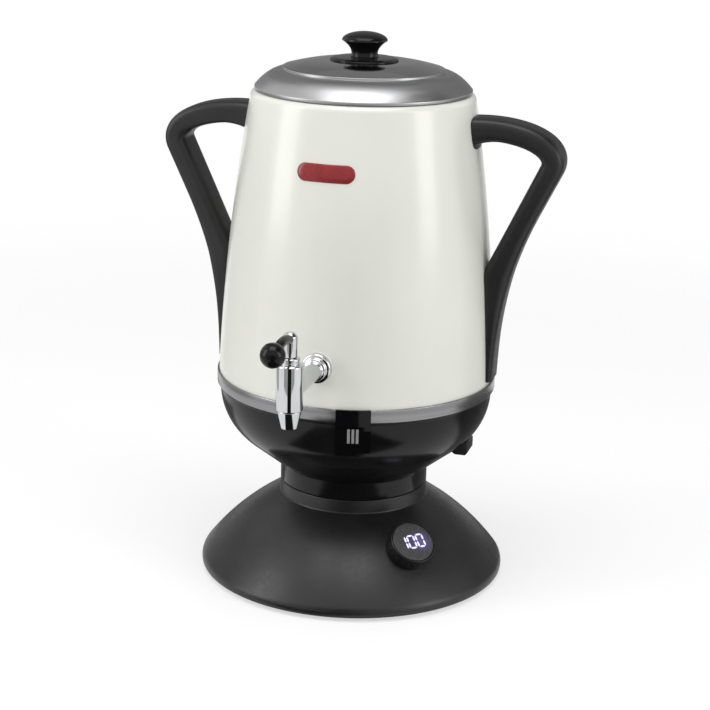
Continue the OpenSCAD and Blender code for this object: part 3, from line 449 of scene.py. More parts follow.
board = grained("board_lacquer", (0.010, 0.085, 0.030), (0.025, 0.150, 0.055), (0.28, 0.40), 2500, 30)
print("finishes so far:", len(bpy.data.materials))

# %% [markdown]
# ## Outlines with rounded corners
# A sharp edge never catches the light, and no moulded or pressed edge is truly sharp. So an outline is a
# list of corners, each with its radius, its height and, where it is rounded, its fillet, and one helper
# turns each fillet into an arc. A smooth stretch, such as the vessel's side, is a run of points from a
# formula.

# %% Fillets, arcs and the places of solids
FILLET_STEPS = 6
FILLET_SHARE = 0.49


def rounded(corners):
    outline = []
    count = len(corners)
    for i, (radius, height, *fillet) in enumerate(corners):
        if not fillet:
            outline.append((radius, height))
            continue
        here = Vector((radius, height))
        back = Vector(corners[i - 1][:2]) - here
        ahead = Vector(corners[(i + 1) % count][:2]) - here
        half = back.angle(ahead) / 2
        reach = min(fillet[0] / math.tan(half), FILLET_SHARE * back.length, FILLET_SHARE * ahead.length)
        middle = here + (back.normalized() + ahead.normalized()).normalized() * reach / math.cos(half)
        first = here + back.normalized() * reach - middle
        last = here + ahead.normalized() * reach - middle
        swing = math.atan2(first.x * last.y - first.y * last.x, first.dot(last))
        for k in range(FILLET_STEPS + 1):
            turn = swing * k / FILLET_STEPS
            x = first.x * math.cos(turn) - first.y * math.sin(turn)
            y = first.x * math.sin(turn) + first.y * math.cos(turn)
            outline.append((middle.x + x, middle.y + y))
    return outline


def arc(x, z, radius, start, end, steps):
    angles = [math.radians(start + (end - start) * i / steps) for i in range(steps + 1)]
    return [(x + radius * math.cos(a), z + radius * math.sin(a)) for a in angles]


def low(node):
    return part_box(node)[0] / MM


def high(node):
    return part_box(node)[1] / MM


def heights(node):
    return low(node).z, high(node).z


# %% [markdown]
# ## The turning tree
# Most pieces of a samovar are round: they are spun, moulded or turned about one axis. Blender has a Screw
# modifier and a spin operator for that, but a Geometry Nodes tree says the rule plainly. It makes a grid
# with one row for each point of an outline and one column for each step round the axis. Then it looks up
# the outline's point for each row, turns it by the column's angle, and closes the seam by merging. One tree
# serves every round piece, and a smaller sweep gives a ring with a gap.


# %% Start and end of a Geometry Nodes tree
def new_tree(name, inputs):
    tree = bpy.data.node_groups.new(name, "GeometryNodeTree")
    for label, kind in inputs.items():
        tree.interface.new_socket(label, in_out="INPUT", socket_type="NodeSocket" + kind)
    tree.interface.new_socket("Piece", in_out="OUTPUT", socket_type="NodeSocketGeometry")
    return tree, add(tree, "NodeGroupInput").outputs


def end_tree(tree, geometry, finish):
    real = out(tree, "GeometryNodeRealizeInstances", {"Geometry": geometry})
    dressed = out(tree, "GeometryNodeSetMaterial", {"Geometry": real, "Material": finish})
    add(tree, "NodeGroupOutput", {"Piece": dressed})
    print("tree", tree.name, "has", len(tree.nodes), "nodes")
    return tree


# %% Geometry Nodes: turn an outline about Z
def turning_tree():
    tree, given = new_tree("turning", {
        "Outline": "Geometry", "Segments": "Int", "Start": "Float", "Sweep": "Float", "Finish": "Material",
    })
    rows = add(tree, "GeometryNodeAttributeDomainSize", {0: given["Outline"]}).outputs["Point Count"]
    columns = maths(tree, "ADD", given["Segments"], 1.0)
    grid = out(tree, "GeometryNodeMeshGrid", {"Vertices X": columns, "Vertices Y": rows})
    index = out(tree, "GeometryNodeInputIndex")
    column = maths(tree, "FLOOR", maths(tree, "DIVIDE", index, rows))
    row = maths(tree, "MODULO", index, rows)
    step = maths(tree, "DIVIDE", given["Sweep"], given["Segments"])
    angle = maths(tree, "ADD", maths(tree, "MULTIPLY", column, step), given["Start"])
    point = out(tree, "GeometryNodeSampleIndex", {
        "Geometry": given["Outline"], "Value": out(tree, "GeometryNodeInputPosition"), "Index": row,
    }, data_type="FLOAT_VECTOR", domain="POINT")
    spun = out(tree, "ShaderNodeVectorRotate", {"Vector": point, "Angle": angle}, rotation_type="Z_AXIS")
    placed = out(tree, "GeometryNodeSetPosition", {"Geometry": grid, "Position": spun})
    closed = out(tree, "GeometryNodeMergeByDistance", {"Geometry": placed, "Distance": MICRON})
    smooth = out(tree, "GeometryNodeSetShadeSmooth", {"Geometry": closed})
    return end_tree(tree, smooth, given["Finish"])


TURNING = turning_tree()

# %% [markdown]
# A tree runs as a modifier on a source object, and new_from_object keeps the result as a plain mesh. The
# mesh that a tree starts from brings an empty finish slot with it, so the slots are filled afresh. After
# that the mesh is cleaned: doubles are merged, open ends closed and normals turned outwards.

# %% Run a tree and keep a plain mesh
SHARP_ANGLE = 35


def run_tree(name, source_mesh, tree, values):
    source = bpy.data.objects.new(name + "_source", source_mesh)
    scene.collection.objects.link(source)
    modifier = source.modifiers.new("nodes", "NODES")
    modifier.node_group = tree
    for item in tree.interface.items_tree:
        if item.in_out == "INPUT" and item.name in values:
            modifier[item.identifier] = values[item.name]
    graph = bpy.context.evaluated_depsgraph_get()
    mesh = bpy.data.meshes.new_from_object(source.evaluated_get(graph))
    bpy.data.objects.remove(source)
    mesh.name = name
    mesh.materials.clear()
    mesh.materials.append(values["Finish"])
    return mesh


def smoothed(mesh, sharp=SHARP_ANGLE):
    mesh.shade_smooth()
    mesh.set_sharp_from_angle(angle=math.radians(sharp))
    return mesh


def clean(mesh, sharp=SHARP_ANGLE):
    shape = bmesh.new()
    shape.from_mesh(mesh)
    bmesh.ops.remove_doubles(shape, verts=shape.verts, dist=0.5 * MICRON)
    bmesh.ops.dissolve_degenerate(shape, edges=shape.edges, dist=0.1 * MICRON)
    open_edges = [edge for edge in shape.edges if len(edge.link_faces) == 1]
    if open_edges:
        bmesh.ops.holes_fill(shape, edges=open_edges, sides=0)
    loose = [vertex for vertex in shape.verts if not vertex.link_faces]
    bmesh.ops.delete(shape, geom=loose, context="VERTS")
    bmesh.ops.recalc_face_normals(shape, faces=shape.faces)
    shape.to_mesh(mesh)
    shape.free()
    return smoothed(mesh, sharp)


def turned(name, corners, finish, segments=256, start=0.0, sweep=360.0, place=Matrix.Identity(4)):
    outline = rounded(corners)
    solid = outline[0][0] == 0 and outline[-1][0] == 0
    loop = outline if solid else outline + outline[:1]
    mesh = bpy.data.meshes.new(name + "_outline")
    points = [(radius * MM, 0, height * MM) for radius, height in loop]
    mesh.from_pydata(points, [(i, i + 1) for i in range(len(points) - 1)], [])
    made = run_tree(name, mesh, TURNING, {
        "Segments": segments, "Start": math.radians(start), "Sweep": math.radians(sweep), "Finish": finish,
    })
    made.transform(place)
    return piece_of(name, clean(made))


def carried(piece, body, slot, *nodes):
    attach(piece, body)
    if nodes:
        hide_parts(*nodes)
    print(piece.name, "rides on", body, "with", len(piece.data.polygons), "faces")
    return piece


# %% [markdown]
# ## The base
# The base is one black moulding: a rounded lower edge runs into a wide arc, which rises to the upright
# collar that the vessel stands on. Two arcs that share a tangent draw the whole side. The round boss at the
# back holds the gland.

# %% Base dome
FOOT_H, BASE_H = heights("base_shell")
BASE_R = high("base_shell").x
BASE_WALL = 3.0
NECK_R = 54.2
EDGE_ROUND = 7.6
EDGE_SWEEP = 37.3
EDGE_LIFT = 2.4
DOME_R = 175.0
POST_HOLE_R = 14.1
edge_r = BASE_R - EDGE_ROUND
edge_z = FOOT_H + EDGE_LIFT
dome_mid_r = edge_r + (EDGE_ROUND - DOME_R) * math.cos(math.radians(EDGE_SWEEP))
dome_mid_z = edge_z + (EDGE_ROUND - DOME_R) * math.sin(math.radians(EDGE_SWEEP))


def base_line(off, steps):
    first = math.degrees(math.asin((FOOT_H - edge_z) / (EDGE_ROUND + off)))
    last = math.degrees(math.acos((NECK_R + off - dome_mid_r) / (DOME_R + off)))
    edge = arc(edge_r, edge_z, EDGE_ROUND + off, first, EDGE_SWEEP, steps=12)
    return edge + arc(dome_mid_r, dome_mid_z, DOME_R + off, EDGE_SWEEP, last, steps)[1:]


def dome_outline():
    ceiling = BASE_H - BASE_WALL
    outside = base_line(0, steps=48)
    inside = base_line(-BASE_WALL, steps=24)
    return [
        (*outside[0], 0.5), *outside[1:-1], (*outside[-1], 1.6), (NECK_R, BASE_H, 0.7),
        (POST_HOLE_R, BASE_H, 0.4), (POST_HOLE_R, ceiling), (NECK_R - BASE_WALL, ceiling),
        *reversed(inside),
    ]


base_dome = turned("base_dome", dome_outline(), base_black)
print("base", round(2 * BASE_R, 1), "mm across")

# %% Gland boss at the back
BOSS_R = 8.5
BOSS_L = 18.0
GLAND_HOLE_R = 5.6
GLAND_PROUD = 2.0
gland_z = sum(heights("cord_gland")) / 2
gland_face = high("cord_gland").y - GLAND_PROUD
TO_BACK = Matrix.Translation((0, 0, gland_z * MM)) @ Matrix.Rotation(math.radians(-90), 4, "X")
gland_boss = turned("gland_boss", [
    (GLAND_HOLE_R, gland_face - BOSS_L), (BOSS_R, gland_face - BOSS_L),
    (BOSS_R, gland_face, 0.8), (GLAND_HOLE_R, gland_face, 0.3),
], base_black, segments=64, place=TO_BACK)
carried(base_dome, "base", "black_satin_plastic", "base_shell")
carried(gland_boss, "base", "black_satin_plastic")

# %% [markdown]
# ## The control dial
# The dial stands on the dome along a tilted axis. A frame for it is a matrix: round to the dial's bearing,
# out to the middle of the dome's arc, then tipped. Pieces are turned about Z first, and the matrix puts
# them in place in their meshes. The grip has 24 ribs, which a second tree sets out on a circle.

# %% Dial ring
DIAL_BEARING = 44.4
DIAL_RISE = 50.7
DIAL_R = 17.0
DIAL_H = 11.0
RING_R = 16.55
TURRET_R = 12.05
LENS_R = 15.0
LENS_T = 1.5
RUN_GAP = 0.3
dial_foot = DOME_R + RUN_GAP
dial_top = DOME_R + DIAL_H
ON_DIAL = (
    Matrix.Rotation(math.radians(DIAL_BEARING - 90), 4, "Z")
    @ Matrix.Translation((dome_mid_r * MM, 0, dome_mid_z * MM))
    @ Matrix.Rotation(math.radians(90 - DIAL_RISE), 4, "Y")
)
lens_seat = dial_top - LENS_T - RUN_GAP
dial_ring = turned("dial_ring", [
    (TURRET_R, dial_foot), (RING_R, dial_foot, 0.4), (RING_R, dial_top, 1.1),
    (LENS_R + RUN_GAP, dial_top, 0.25), (LENS_R + RUN_GAP, lens_seat), (TURRET_R, lens_seat),
], dial_black, segments=144, place=ON_DIAL)
carried(dial_ring, "dial", "black_gloss_plastic", "control_dial")

# %% Geometry Nodes: ribs round the dial
RIB_COUNT = 24
RIB_R = 1.9
RIB_L = 8.0
RIB_DROP = 0.5


def rib_tree():
    tree, given = new_tree("dial_ribs", {
        "Count": "Int", "Ring Radius": "Float", "Rib Radius": "Float", "Rib Length": "Float",
        "Height": "Float", "Finish": "Material",
    })
    circle = out(tree, "GeometryNodeMeshCircle", {"Vertices": given["Count"], "Radius": given["Ring Radius"]})
    bar = out(tree, "GeometryNodeMeshUVSphere", {
        "Segments": 12, "Rings": 8, "Radius": given["Rib Radius"],
    })
    stretch = maths(tree, "DIVIDE", given["Rib Length"], maths(tree, "MULTIPLY", given["Rib Radius"], 2.0))
    scale = vector(tree, 1.0, 1.0, stretch)
    rib = out(tree, "GeometryNodeTransform", {"Geometry": bar, "Scale": scale})
    ribs = out(tree, "GeometryNodeInstanceOnPoints", {"Points": circle, "Instance": rib})
    lift = vector(tree, z=given["Height"])
    raised = out(tree, "GeometryNodeTransform", {"Geometry": ribs, "Translation": lift})
    return end_tree(tree, raised, given["Finish"])


rib_mesh = run_tree("dial_ribs", bpy.data.meshes.new("dial_ribs_source"), rib_tree(), {
    "Count": RIB_COUNT, "Ring Radius": (DIAL_R - RIB_R) * MM, "Rib Radius": RIB_R * MM,
    "Rib Length": RIB_L * MM, "Height": ((dial_foot + dial_top) / 2 - RIB_DROP) * MM, "Finish": dial_black,
})
rib_mesh.transform(ON_DIAL)
carried(piece_of("dial_ribs", clean(rib_mesh)), "dial", "black_gloss_plastic")

# %% [markdown]
# ## The display
# A smoked lens closes the fixed tube inside the dial, and lit digits show on its face. The digits could be
# text, but a seven-segment figure is closer to the real part, and each figure is the same small bar set out
# by a rule. The lens glows a little round the digits, which its finish does with a soft spot of light on
# Object coordinates.

# %% Smoked lens
GLOW_X = 0.8
GLOW_Y = 5.5
GLOW_R = 11.0
GLOW_STRENGTH = 0.34
GLOW_CENTRE = ON_DIAL @ Vector((GLOW_X * MM, GLOW_Y * MM, dial_top * MM))


def lens_finish():
    material, tree, shader = new_finish(
        "smoked_lens", Coat_Weight=0.2, Coat_Roughness=0.05, Emission_Color=(0.20, 0.14, 0.62, 1))
    place = object_place(tree)
    shift = out(tree, "ShaderNodeVectorMath", {0: place, 1: GLOW_CENTRE}, operation="SUBTRACT")
    glow = out(tree, "ShaderNodeMapRange", {
        "Value": length(tree, shift), "From Max": GLOW_R * MM, "To Min": GLOW_STRENGTH, "To Max": 0.0,
    }, interpolation_type="SMOOTHSTEP")
    feed(
        shader,
        Base_Color=tint(tree, noise(tree, place, 220), (0.055, 0.056, 0.056), (0.075, 0.076, 0.075)),
        Roughness=spread(tree, noise(tree, place, 600), 0.20, 0.30),
        Emission_Strength=glow,
    )
    return material


lens_back = dial_top - LENS_T
lens = turned("display_window", [
    (0, lens_back), (LENS_R, lens_back), (LENS_R, dial_top, 0.3), (0, dial_top),
], lens_finish(), segments=128, place=ON_DIAL)
carried(lens, "base", "display_grey", "display_lens")

# %% Geometry Nodes: lit bars of the digits
DIGIT_H = 9.6
DIGIT_W = 5.0
DIGIT_GAP = 1.9
DIGIT_SHIFT = 1.3
BAR_W = 1.5
BAR_T = 0.12
BAR_GAP = 0.25
SHOWN = "100"
SEGMENTS_OF = {
    "0": "abcdef", "1": "bc", "2": "abged", "3": "abgcd", "4": "fgbc",
    "5": "afgcd", "6": "afgedc", "7": "abc", "8": "abcdefg", "9": "abcdfg",
}


def digit_finish():
    material, tree, shader = new_finish(
        "lit_digits", Roughness=0.4, Emission_Strength=1.0, Base_Color=(0.5, 0.45, 0.8, 1))
    flicker = noise(tree, object_place(tree), 500)
    feed(shader, Emission_Color=tint(tree, flicker, (0.52, 0.46, 0.95), (0.86, 0.82, 1.0)))
    return material


def bar_tree():
    tree, given = new_tree("lit_bars", {
        "Centres": "Geometry", "Bar Length": "Float", "Bar Width": "Float", "Bar Height": "Float",
        "Finish": "Material",
    })
    prism = out(tree, "GeometryNodeMeshCylinder", {"Vertices": 6, "Radius": 0.5, "Depth": 1.0})
    size = vector(tree, given["Bar Length"], given["Bar Width"], given["Bar Height"])
    bar = out(tree, "GeometryNodeTransform", {"Geometry": prism, "Scale": size})
    upright = out(tree, "GeometryNodeInputNamedAttribute", {0: "upright"}, data_type="FLOAT")
    turn = vector(tree, z=maths(tree, "MULTIPLY", upright, math.pi / 2))
    bars = out(tree, "GeometryNodeInstanceOnPoints", {
        "Points": given["Centres"], "Instance": bar, "Rotation": turn,
    })
    return end_tree(tree, bars, given["Finish"])


def digit_centres():
    half_w = DIGIT_W / 2
    half_h = DIGIT_H / 2
    spots = {
        "a": (0, half_h, 0), "g": (0, 0, 0), "d": (0, -half_h, 0),
        "f": (-half_w, half_h / 2, 1), "b": (half_w, half_h / 2, 1),
        "e": (-half_w, -half_h / 2, 1), "c": (half_w, -half_h / 2, 1),
    }
    pitch = DIGIT_W + DIGIT_GAP
    found = []
    for place, digit in enumerate(SHOWN):
        middle = (place - (len(SHOWN) - 1) / 2) * pitch
        for letter in SEGMENTS_OF[digit]:
            x, y, upright = spots[letter]
            found.append((middle + x - half_w + DIGIT_SHIFT, y, upright))
    return found


def make_digits():
    centres = digit_centres()
    mesh = bpy.data.meshes.new("digit_centres")
    mesh.from_pydata([(x * MM, y * MM, 0) for x, y, _ in centres], [], [])
    mesh.attributes.new("upright", "FLOAT", "POINT")
    mesh.attributes["upright"].data.foreach_set("value", [upright for _, _, upright in centres])
    made = run_tree("display_digits", mesh, bar_tree(), {
        "Bar Length": (DIGIT_H / 2 - BAR_GAP) * MM, "Bar Width": BAR_W * MM, "Bar Height": BAR_T * MM,
        "Finish": digit_finish(),
    })
    face_up = Matrix.Translation((0, 0, dial_top * MM)) @ Matrix.Rotation(math.radians(90), 4, "Z")
    made.transform(ON_DIAL @ face_up)
    return piece_of("display_digits", clean(made))


carried(make_digits(), "base", "display_grey")

# %% [markdown]
# ## The bowl
# The bowl carries the vessel. Its side runs from a narrow neck up a cone and over a wide curve to a small
# bead that the wall rests on, all one outline. Two places are cut into the turned shape with Boolean
# modifiers: the window of the rocker switch, and the shallow seat of the indicator panel, whose cutter is a
# short sweep of the same curve.

# %% Bowl outline
BOWL_WALL = 3.0
BOWL_ROUND = 47.5
BOWL_SWEEP = 51.7
BOWL_LIP = 3.2
RIM_STEP = 1.1
RIM_BEAD = 1.2
SPIGOT_W = 2.4
SPIGOT_INSET = 1.6
SPIGOT_ROOT = 1.0
SOCKET_HOLE_R = 20.6
shell_r = high("outer_shell").x
bowl_r = shell_r - RIM_STEP
spigot_r = shell_r - SPIGOT_INSET
bowl_z, spigot_top = heights("bowl")
bowl_top, band_top = heights("trim_band")
curve_z = bowl_top - BOWL_LIP


def bowl_side(off, steps=36):
    radius = BOWL_ROUND + off
    sweep = math.radians(BOWL_SWEEP)
    end_r = bowl_r - BOWL_ROUND + radius * math.cos(sweep)
    end_z = curve_z - radius * math.sin(sweep)
    foot_z = end_z - (end_r - NECK_R - off) / math.tan(sweep)
    curve = arc(bowl_r - BOWL_ROUND, curve_z, radius, -BOWL_SWEEP, 0, steps)
    return [(NECK_R + off, foot_z)] + curve


def bowl_outline():
    outside = bowl_side(0)
    inside = bowl_side(-BOWL_WALL, steps=18)
    bead_z = bowl_top - RIM_BEAD
    floor_z = bowl_z + BOWL_WALL
    spigot_in = spigot_r - SPIGOT_W
    return [
        (SOCKET_HOLE_R, bowl_z, 0.3), (NECK_R, bowl_z, 0.8), (*outside[0], 1.0), *outside[1:],
        (bowl_r, bead_z - RIM_STEP, 0.5), (shell_r, bead_z, 0.4), (shell_r, bowl_top, 0.2),
        (spigot_r, bowl_top), (spigot_r, spigot_top, 0.4), (spigot_in, spigot_top, 0.4),
        (spigot_in, bowl_top - SPIGOT_ROOT), *reversed(inside),
        (NECK_R - BOWL_WALL, floor_z), (SOCKET_HOLE_R, floor_z),
    ]


print("bowl", round(2 * bowl_r, 1), "mm across")

# %% Bowl with its two cuts
PANEL_BEARING = 14.6
PANEL_W = 24.0
PANEL_GAP = 0.1
PANEL_SEAT = 1.4
SEAT_ROOF = 0.9
SEAT_SKIM = 0.05
CUT_PAST = 1.0
CUT_OUT = 6.0
WINDOW_ROOM = 0.8
WINDOW_BELOW = 1.5
WINDOW_ABOVE = 5.7
WINDOW_IN = 20.0
WINDOW_OUT = 14.0


def box_mesh(name, corner_low, corner_high):
    shape = bmesh.new()
    bmesh.ops.create_cube(shape, size=1.0)
    bmesh.ops.scale(shape, vec=corner_high - corner_low, verts=shape.verts)
    bmesh.ops.translate(shape, vec=(corner_low + corner_high) / 2, verts=shape.verts)
    return mesh_of(name, shape)


def switch_window():
    edge = low("switch_paddle")
    end = high("switch_paddle")
    corner_low = Vector((end.x - WINDOW_IN, edge.y - WINDOW_ROOM, edge.z - WINDOW_BELOW)) * MM
    corner_high = Vector((end.x + WINDOW_OUT, end.y + WINDOW_ROOM, end.z + WINDOW_ABOVE)) * MM
    return piece_of("switch_window", box_mesh("switch_window", corner_low, corner_high))


def panel_half(radius):
    return math.degrees(math.asin((PANEL_W / 2 + PANEL_GAP) / radius))


def panel_seat():
    deep = [point for point in bowl_side(-PANEL_SEAT) if point[1] > low("indicator_panel").z - PANEL_GAP]
    roof = bowl_top - SEAT_ROOF
    past = bowl_top + CUT_PAST
    skim_r = spigot_r + SEAT_SKIM
    outline = deep + [
        (bowl_r - PANEL_SEAT, roof), (skim_r, roof), (skim_r, past),
        (bowl_r + CUT_OUT, past), (bowl_r + CUT_OUT, deep[0][1]),
    ]
    half = panel_half(bowl_r)
    start = PANEL_BEARING - 90 - half
    return turned("panel_seat", outline, bowl_black, segments=24, start=start, sweep=2 * half)


def settled(piece, helpers=()):
    graph = bpy.context.evaluated_depsgraph_get()
    mesh = bpy.data.meshes.new_from_object(piece.evaluated_get(graph))
    name = piece.name
    for gone in (piece, *helpers):
        bpy.data.objects.remove(gone)
    mesh.name = name
    return piece_of(name, smoothed(mesh))


def combined(piece, operation, *others):
    for other in others:
        modifier = piece.modifiers.new("combine", "BOOLEAN")
        modifier.operation = operation
        modifier.solver = "EXACT"
        modifier.object = other
    return settled(piece, others)


whole_bowl = turned("bowl_black", bowl_outline(), bowl_black)
bowl = combined(whole_bowl, "DIFFERENCE", switch_window(), panel_seat())
carried(bowl, "vessel", "black_gloss_plastic", "bowl")

# %% [markdown]
# ## The trim band
# A strip of rolled steel covers the joint between bowl and vessel. It stops on both sides of the indicator
# panel, so it is a sweep of less than a full turn with closed ends. The fillets along its edges give the
# two fine highlights that tell the eye it is metal.

# %% Band
BAND_T = 1.2
BAND_FILLET = 0.5
band_r = high("trim_band").x
band_in = band_r - BAND_T
band_half = panel_half(band_r)
band = turned("band_steel", [
    (band_in, bowl_top), (band_r, bowl_top, BAND_FILLET),
    (band_r, band_top, BAND_FILLET), (band_in, band_top),
], band_steel, start=PANEL_BEARING - 90 + band_half, sweep=360 - 2 * band_half)
carried(band, "vessel", "chrome", "trim_band")

# %% [markdown]
# ## The vessel
# The vessel's outer wall is a tapered cylinder whose side bulges a few millimetres, with a rounded shoulder
# and an open mouth for the lid. Its side is a straight taper plus a parabola, so 64 steps of that formula
# draw it. The tank inside is the same curve, set in by the air gap.

# %% Outer wall
SHELL_WALL = 1.5
SHELL_TOP_R = 79.3
SHELL_BULGE = 3.2
SIDE_H = 199.0
SHOULDER_R = 5.0
MOUTH_R = 70.0
SIDE_STEPS = 64
INNER_TOP = 0.99
shell_top = high("outer_shell").z


def side_radius(t):
    return shell_r + (SHELL_TOP_R - shell_r) * t + 4 * SHELL_BULGE * t * (1 - t)


def side_lean(t):
    return math.atan2(shell_r - SHELL_TOP_R - 4 * SHELL_BULGE * (1 - 2 * t), SIDE_H)


def side_point(t, off):
    lean = side_lean(t)
    return side_radius(t) + off * math.cos(lean), band_top + SIDE_H * t + off * math.sin(lean)


def share_at(z):
    return (z - band_top) / SIDE_H


def wall_at(z):
    return side_radius(share_at(z))


def side_run(first, last, off, steps=SIDE_STEPS):
    return [side_point(first + (last - first) * i / steps, off) for i in range(steps + 1)]


def shell_outline():
    lean = math.degrees(side_lean(1))
    middle_r = SHELL_TOP_R - SHOULDER_R * math.cos(side_lean(1))
    middle_z = shell_top - SHOULDER_R
    shoulder = arc(middle_r, middle_z, SHOULDER_R, lean, 90, steps=14)
    under = arc(middle_r, middle_z, SHOULDER_R - SHELL_WALL, 90, lean, steps=8)
    return [
        (shell_r - SHELL_WALL, bowl_top), (shell_r, bowl_top), *side_run(0, 1, 0), *shoulder[1:],
        (MOUTH_R, shell_top, 0.6), (MOUTH_R, shell_top - SHELL_WALL, 0.6),
        *under, *reversed(side_run(0, INNER_TOP, -SHELL_WALL, steps=24)),
    ]


vessel_wall = turned("vessel_wall", shell_outline(), enamel, segments=288)
carried(vessel_wall, "vessel", "white_enamel", "outer_shell")

# %% Inner tank
TANK_GAP = 4.5
TANK_WALL = 1.0
TANK_CORNER = 6.0
TANK_NECK = 6.0
NECK_TAPER = 0.8
TANK_STEPS = 32
CORNER_END = -5
LIP_INSET = 0.8
tank_lip_r = MOUTH_R + LIP_INSET
tank_z, tank_top = heights("inner_tank")


def tank_outline():
    corner_z = tank_z + TANK_CORNER
    first = share_at(corner_z)
    last = share_at(tank_top - TANK_NECK)
    corner_r = side_radius(first) - TANK_GAP - TANK_CORNER
    outside = side_run(first, last, -TANK_GAP, TANK_STEPS)
    inside = side_run(first, last, -TANK_GAP - TANK_WALL, TANK_STEPS)
    top_r = outside[-1][0] - NECK_TAPER
    lip_z = tank_top - TANK_WALL
    return [
        (0, tank_z), *arc(corner_r, corner_z, TANK_CORNER, -90, CORNER_END, steps=10), *outside,
        (top_r, tank_top, 0.5), (tank_lip_r, tank_top, 0.3), (tank_lip_r, lip_z, 0.3),
        (top_r - TANK_WALL, lip_z), *reversed(inside),
        *arc(corner_r, corner_z, TANK_CORNER - TANK_WALL, CORNER_END, -90, steps=10),
        (0, tank_z + TANK_WALL),
    ]


tank = turned("steel_tank", tank_outline(), tank_steel)
carried(tank, "vessel", "tank_steel", "inner_tank")

# %% [markdown]
# ## The badge plate
# A small red plate is fixed to the vessel high above the tap. It has round ends and a pillowed face, and it
# bends with the wall. It could be projected with a Shrinkwrap modifier, but its rule is short: each point
# of a flat plate is rolled round the axis at the wall's own radius, and raised by a height that falls to
# nothing at the rim.

# %% Badge
BADGE_W = 41.0
BADGE_H = 12.2
BADGE_X = -1.6
BADGE_Z = 311.0
BADGE_T = 1.1
BADGE_SINK = -0.2
CAP_STEPS = 24
RUN_STEPS = 32
PILLOW_STEPS = 12
PILLOW_POWER = 3


def badge_finish():
    material, tree, shader = new_finish(
        "badge_red", Coat_Weight=0.3, Coat_Roughness=0.06, Specular_IOR_Level=0.3)
    place = object_place(tree)
    feed(
        shader,
        Base_Color=tint(tree, noise(tree, place, 90), (0.20, 0.009, 0.012), (0.28, 0.014, 0.018)),
        Roughness=spread(tree, noise(tree, place, 400), 0.22, 0.32),
    )
    return material


def pill(inset):
    end_r = BADGE_H / 2 - inset
    run = BADGE_W / 2 - BADGE_H / 2
    along = [run - 2 * run * i / RUN_STEPS for i in range(1, RUN_STEPS)]
    edge = arc(run, 0, end_r, -90, 90, CAP_STEPS) + [(x, end_r) for x in along]
    return edge + arc(-run, 0, end_r, 90, 270, CAP_STEPS) + [(-x, -end_r) for x in along]


def on_wall(x, y, rise):
    z = BADGE_Z + y
    radius = wall_at(z) + rise
    angle = (x + BADGE_X) / radius - math.pi / 2
    return Vector((radius * math.cos(angle), radius * math.sin(angle), z)) * MM


def bridge(shape, rows):
    for row, after in zip(rows, rows[1:]):
        for i in range(len(row)):
            k = (i + 1) % len(row)
            shape.faces.new((row[i], row[k], after[k], after[i]))


def make_badge():
    shape = bmesh.new()
    middle = BADGE_H / 2
    turns = [math.pi / 2 * k / PILLOW_STEPS for k in range(PILLOW_STEPS + 1)]
    insets = [middle * (1 - math.cos(turn)) for turn in turns]
    levels = [(middle, BADGE_SINK), (0, BADGE_SINK)]
    levels += [(inset, math.sqrt(1 - (1 - inset / middle) ** PILLOW_POWER)) for inset in insets]
    rows = []
    for inset, rise in levels:
        rows.append([shape.verts.new(on_wall(x, y, rise * BADGE_T)) for x, y in pill(inset)])
    bridge(shape, rows)
    return piece_of("badge_plate", clean(mesh_of("badge_plate", shape), sharp=50), badge_finish())


carried(make_badge(), "vessel", "white_enamel")

# %% [markdown]
# ## The handles
# Each handle is one bar that leaves the wall almost level, turns down over a bend and runs back to the
# wall, where it thins out to a long tail. A curve with a bevel has the same section all along, so the bar
# is lofted instead: stations along the bar, each with an outer and an inner edge, and a rounded section
# stretched between them. Points that would fall inside the vessel are moved out to its wall, so the bar
# sits on the wall as a moulded foot does. The corner in the outer edge where the leg meets the tail is
# eased by a curve.

# %% Handle sizes
ARM_DROP = 21.0
ARM_HOLD = 40.0
ARM_RISE = math.radians(5.0)
ARM_T = 16.0
ROOT_SINK = 6.0
ROOT_SWELL = 6.0
SWELL_SHARE = 1 / 4
LEG_REACH = 136.1
LEG_FALL = 25.6
LEG_HOLD = 18.0
LEG_LEAN = math.radians(25.3)
LEG_T = 15.2
BEND_SWELL = 0.7
TAIL_SHARE = 0.52
TAIL_T = 2.4
TAIL_DIP = 3.6
TAIL_CLEAR = 3.0
TAIL_SINK = 3.0
HANDLE_W = 27.0
FIT_GAP = 0.3
arm_z = shell_top - ARM_DROP
tail_top = band_top + SIDE_H * TAIL_SHARE
tail_end = band_top + TAIL_CLEAR
leg_out = Vector((math.cos(LEG_LEAN), -math.sin(LEG_LEAN)))
leg_down = Vector((-math.sin(LEG_LEAN), -math.cos(LEG_LEAN)))
arm_root = Vector((wall_at(arm_z) - ROOT_SINK, arm_z))
leg_start = Vector((LEG_REACH, arm_z - LEG_FALL))
arm_pull = arm_root + Vector((math.cos(ARM_RISE), math.sin(ARM_RISE))) * ARM_HOLD
leg_pull = leg_start - leg_down * LEG_HOLD
print("handle leg starts at", [round(v, 1) for v in leg_start])

# %% Handle stations
ARM_STEPS = 64
LEG_STEPS = 20
TAIL_STEPS = 40
EASE_STEPS = 9


def mix(first, last, t):
    return first + (last - first) * t


def across(middle, normal, thick):
    return middle + normal * thick / 2, middle - normal * thick / 2


def arm_stations():
    for i in range(ARM_STEPS + 1):
        t = i / ARM_STEPS
        first = mix(mix(arm_root, arm_pull, t), mix(arm_pull, leg_pull, t), t)
        last = mix(mix(arm_pull, leg_pull, t), mix(leg_pull, leg_start, t), t)
        ahead = (last - first).normalized()
        thick = mix(ARM_T, LEG_T + BEND_SWELL, t)
        outer, inner = across(mix(first, last, t), Vector((-ahead.y, ahead.x)), thick)
        inner.y -= ROOT_SWELL * max(0, 1 - t / SWELL_SHARE) ** 2
        yield outer, inner


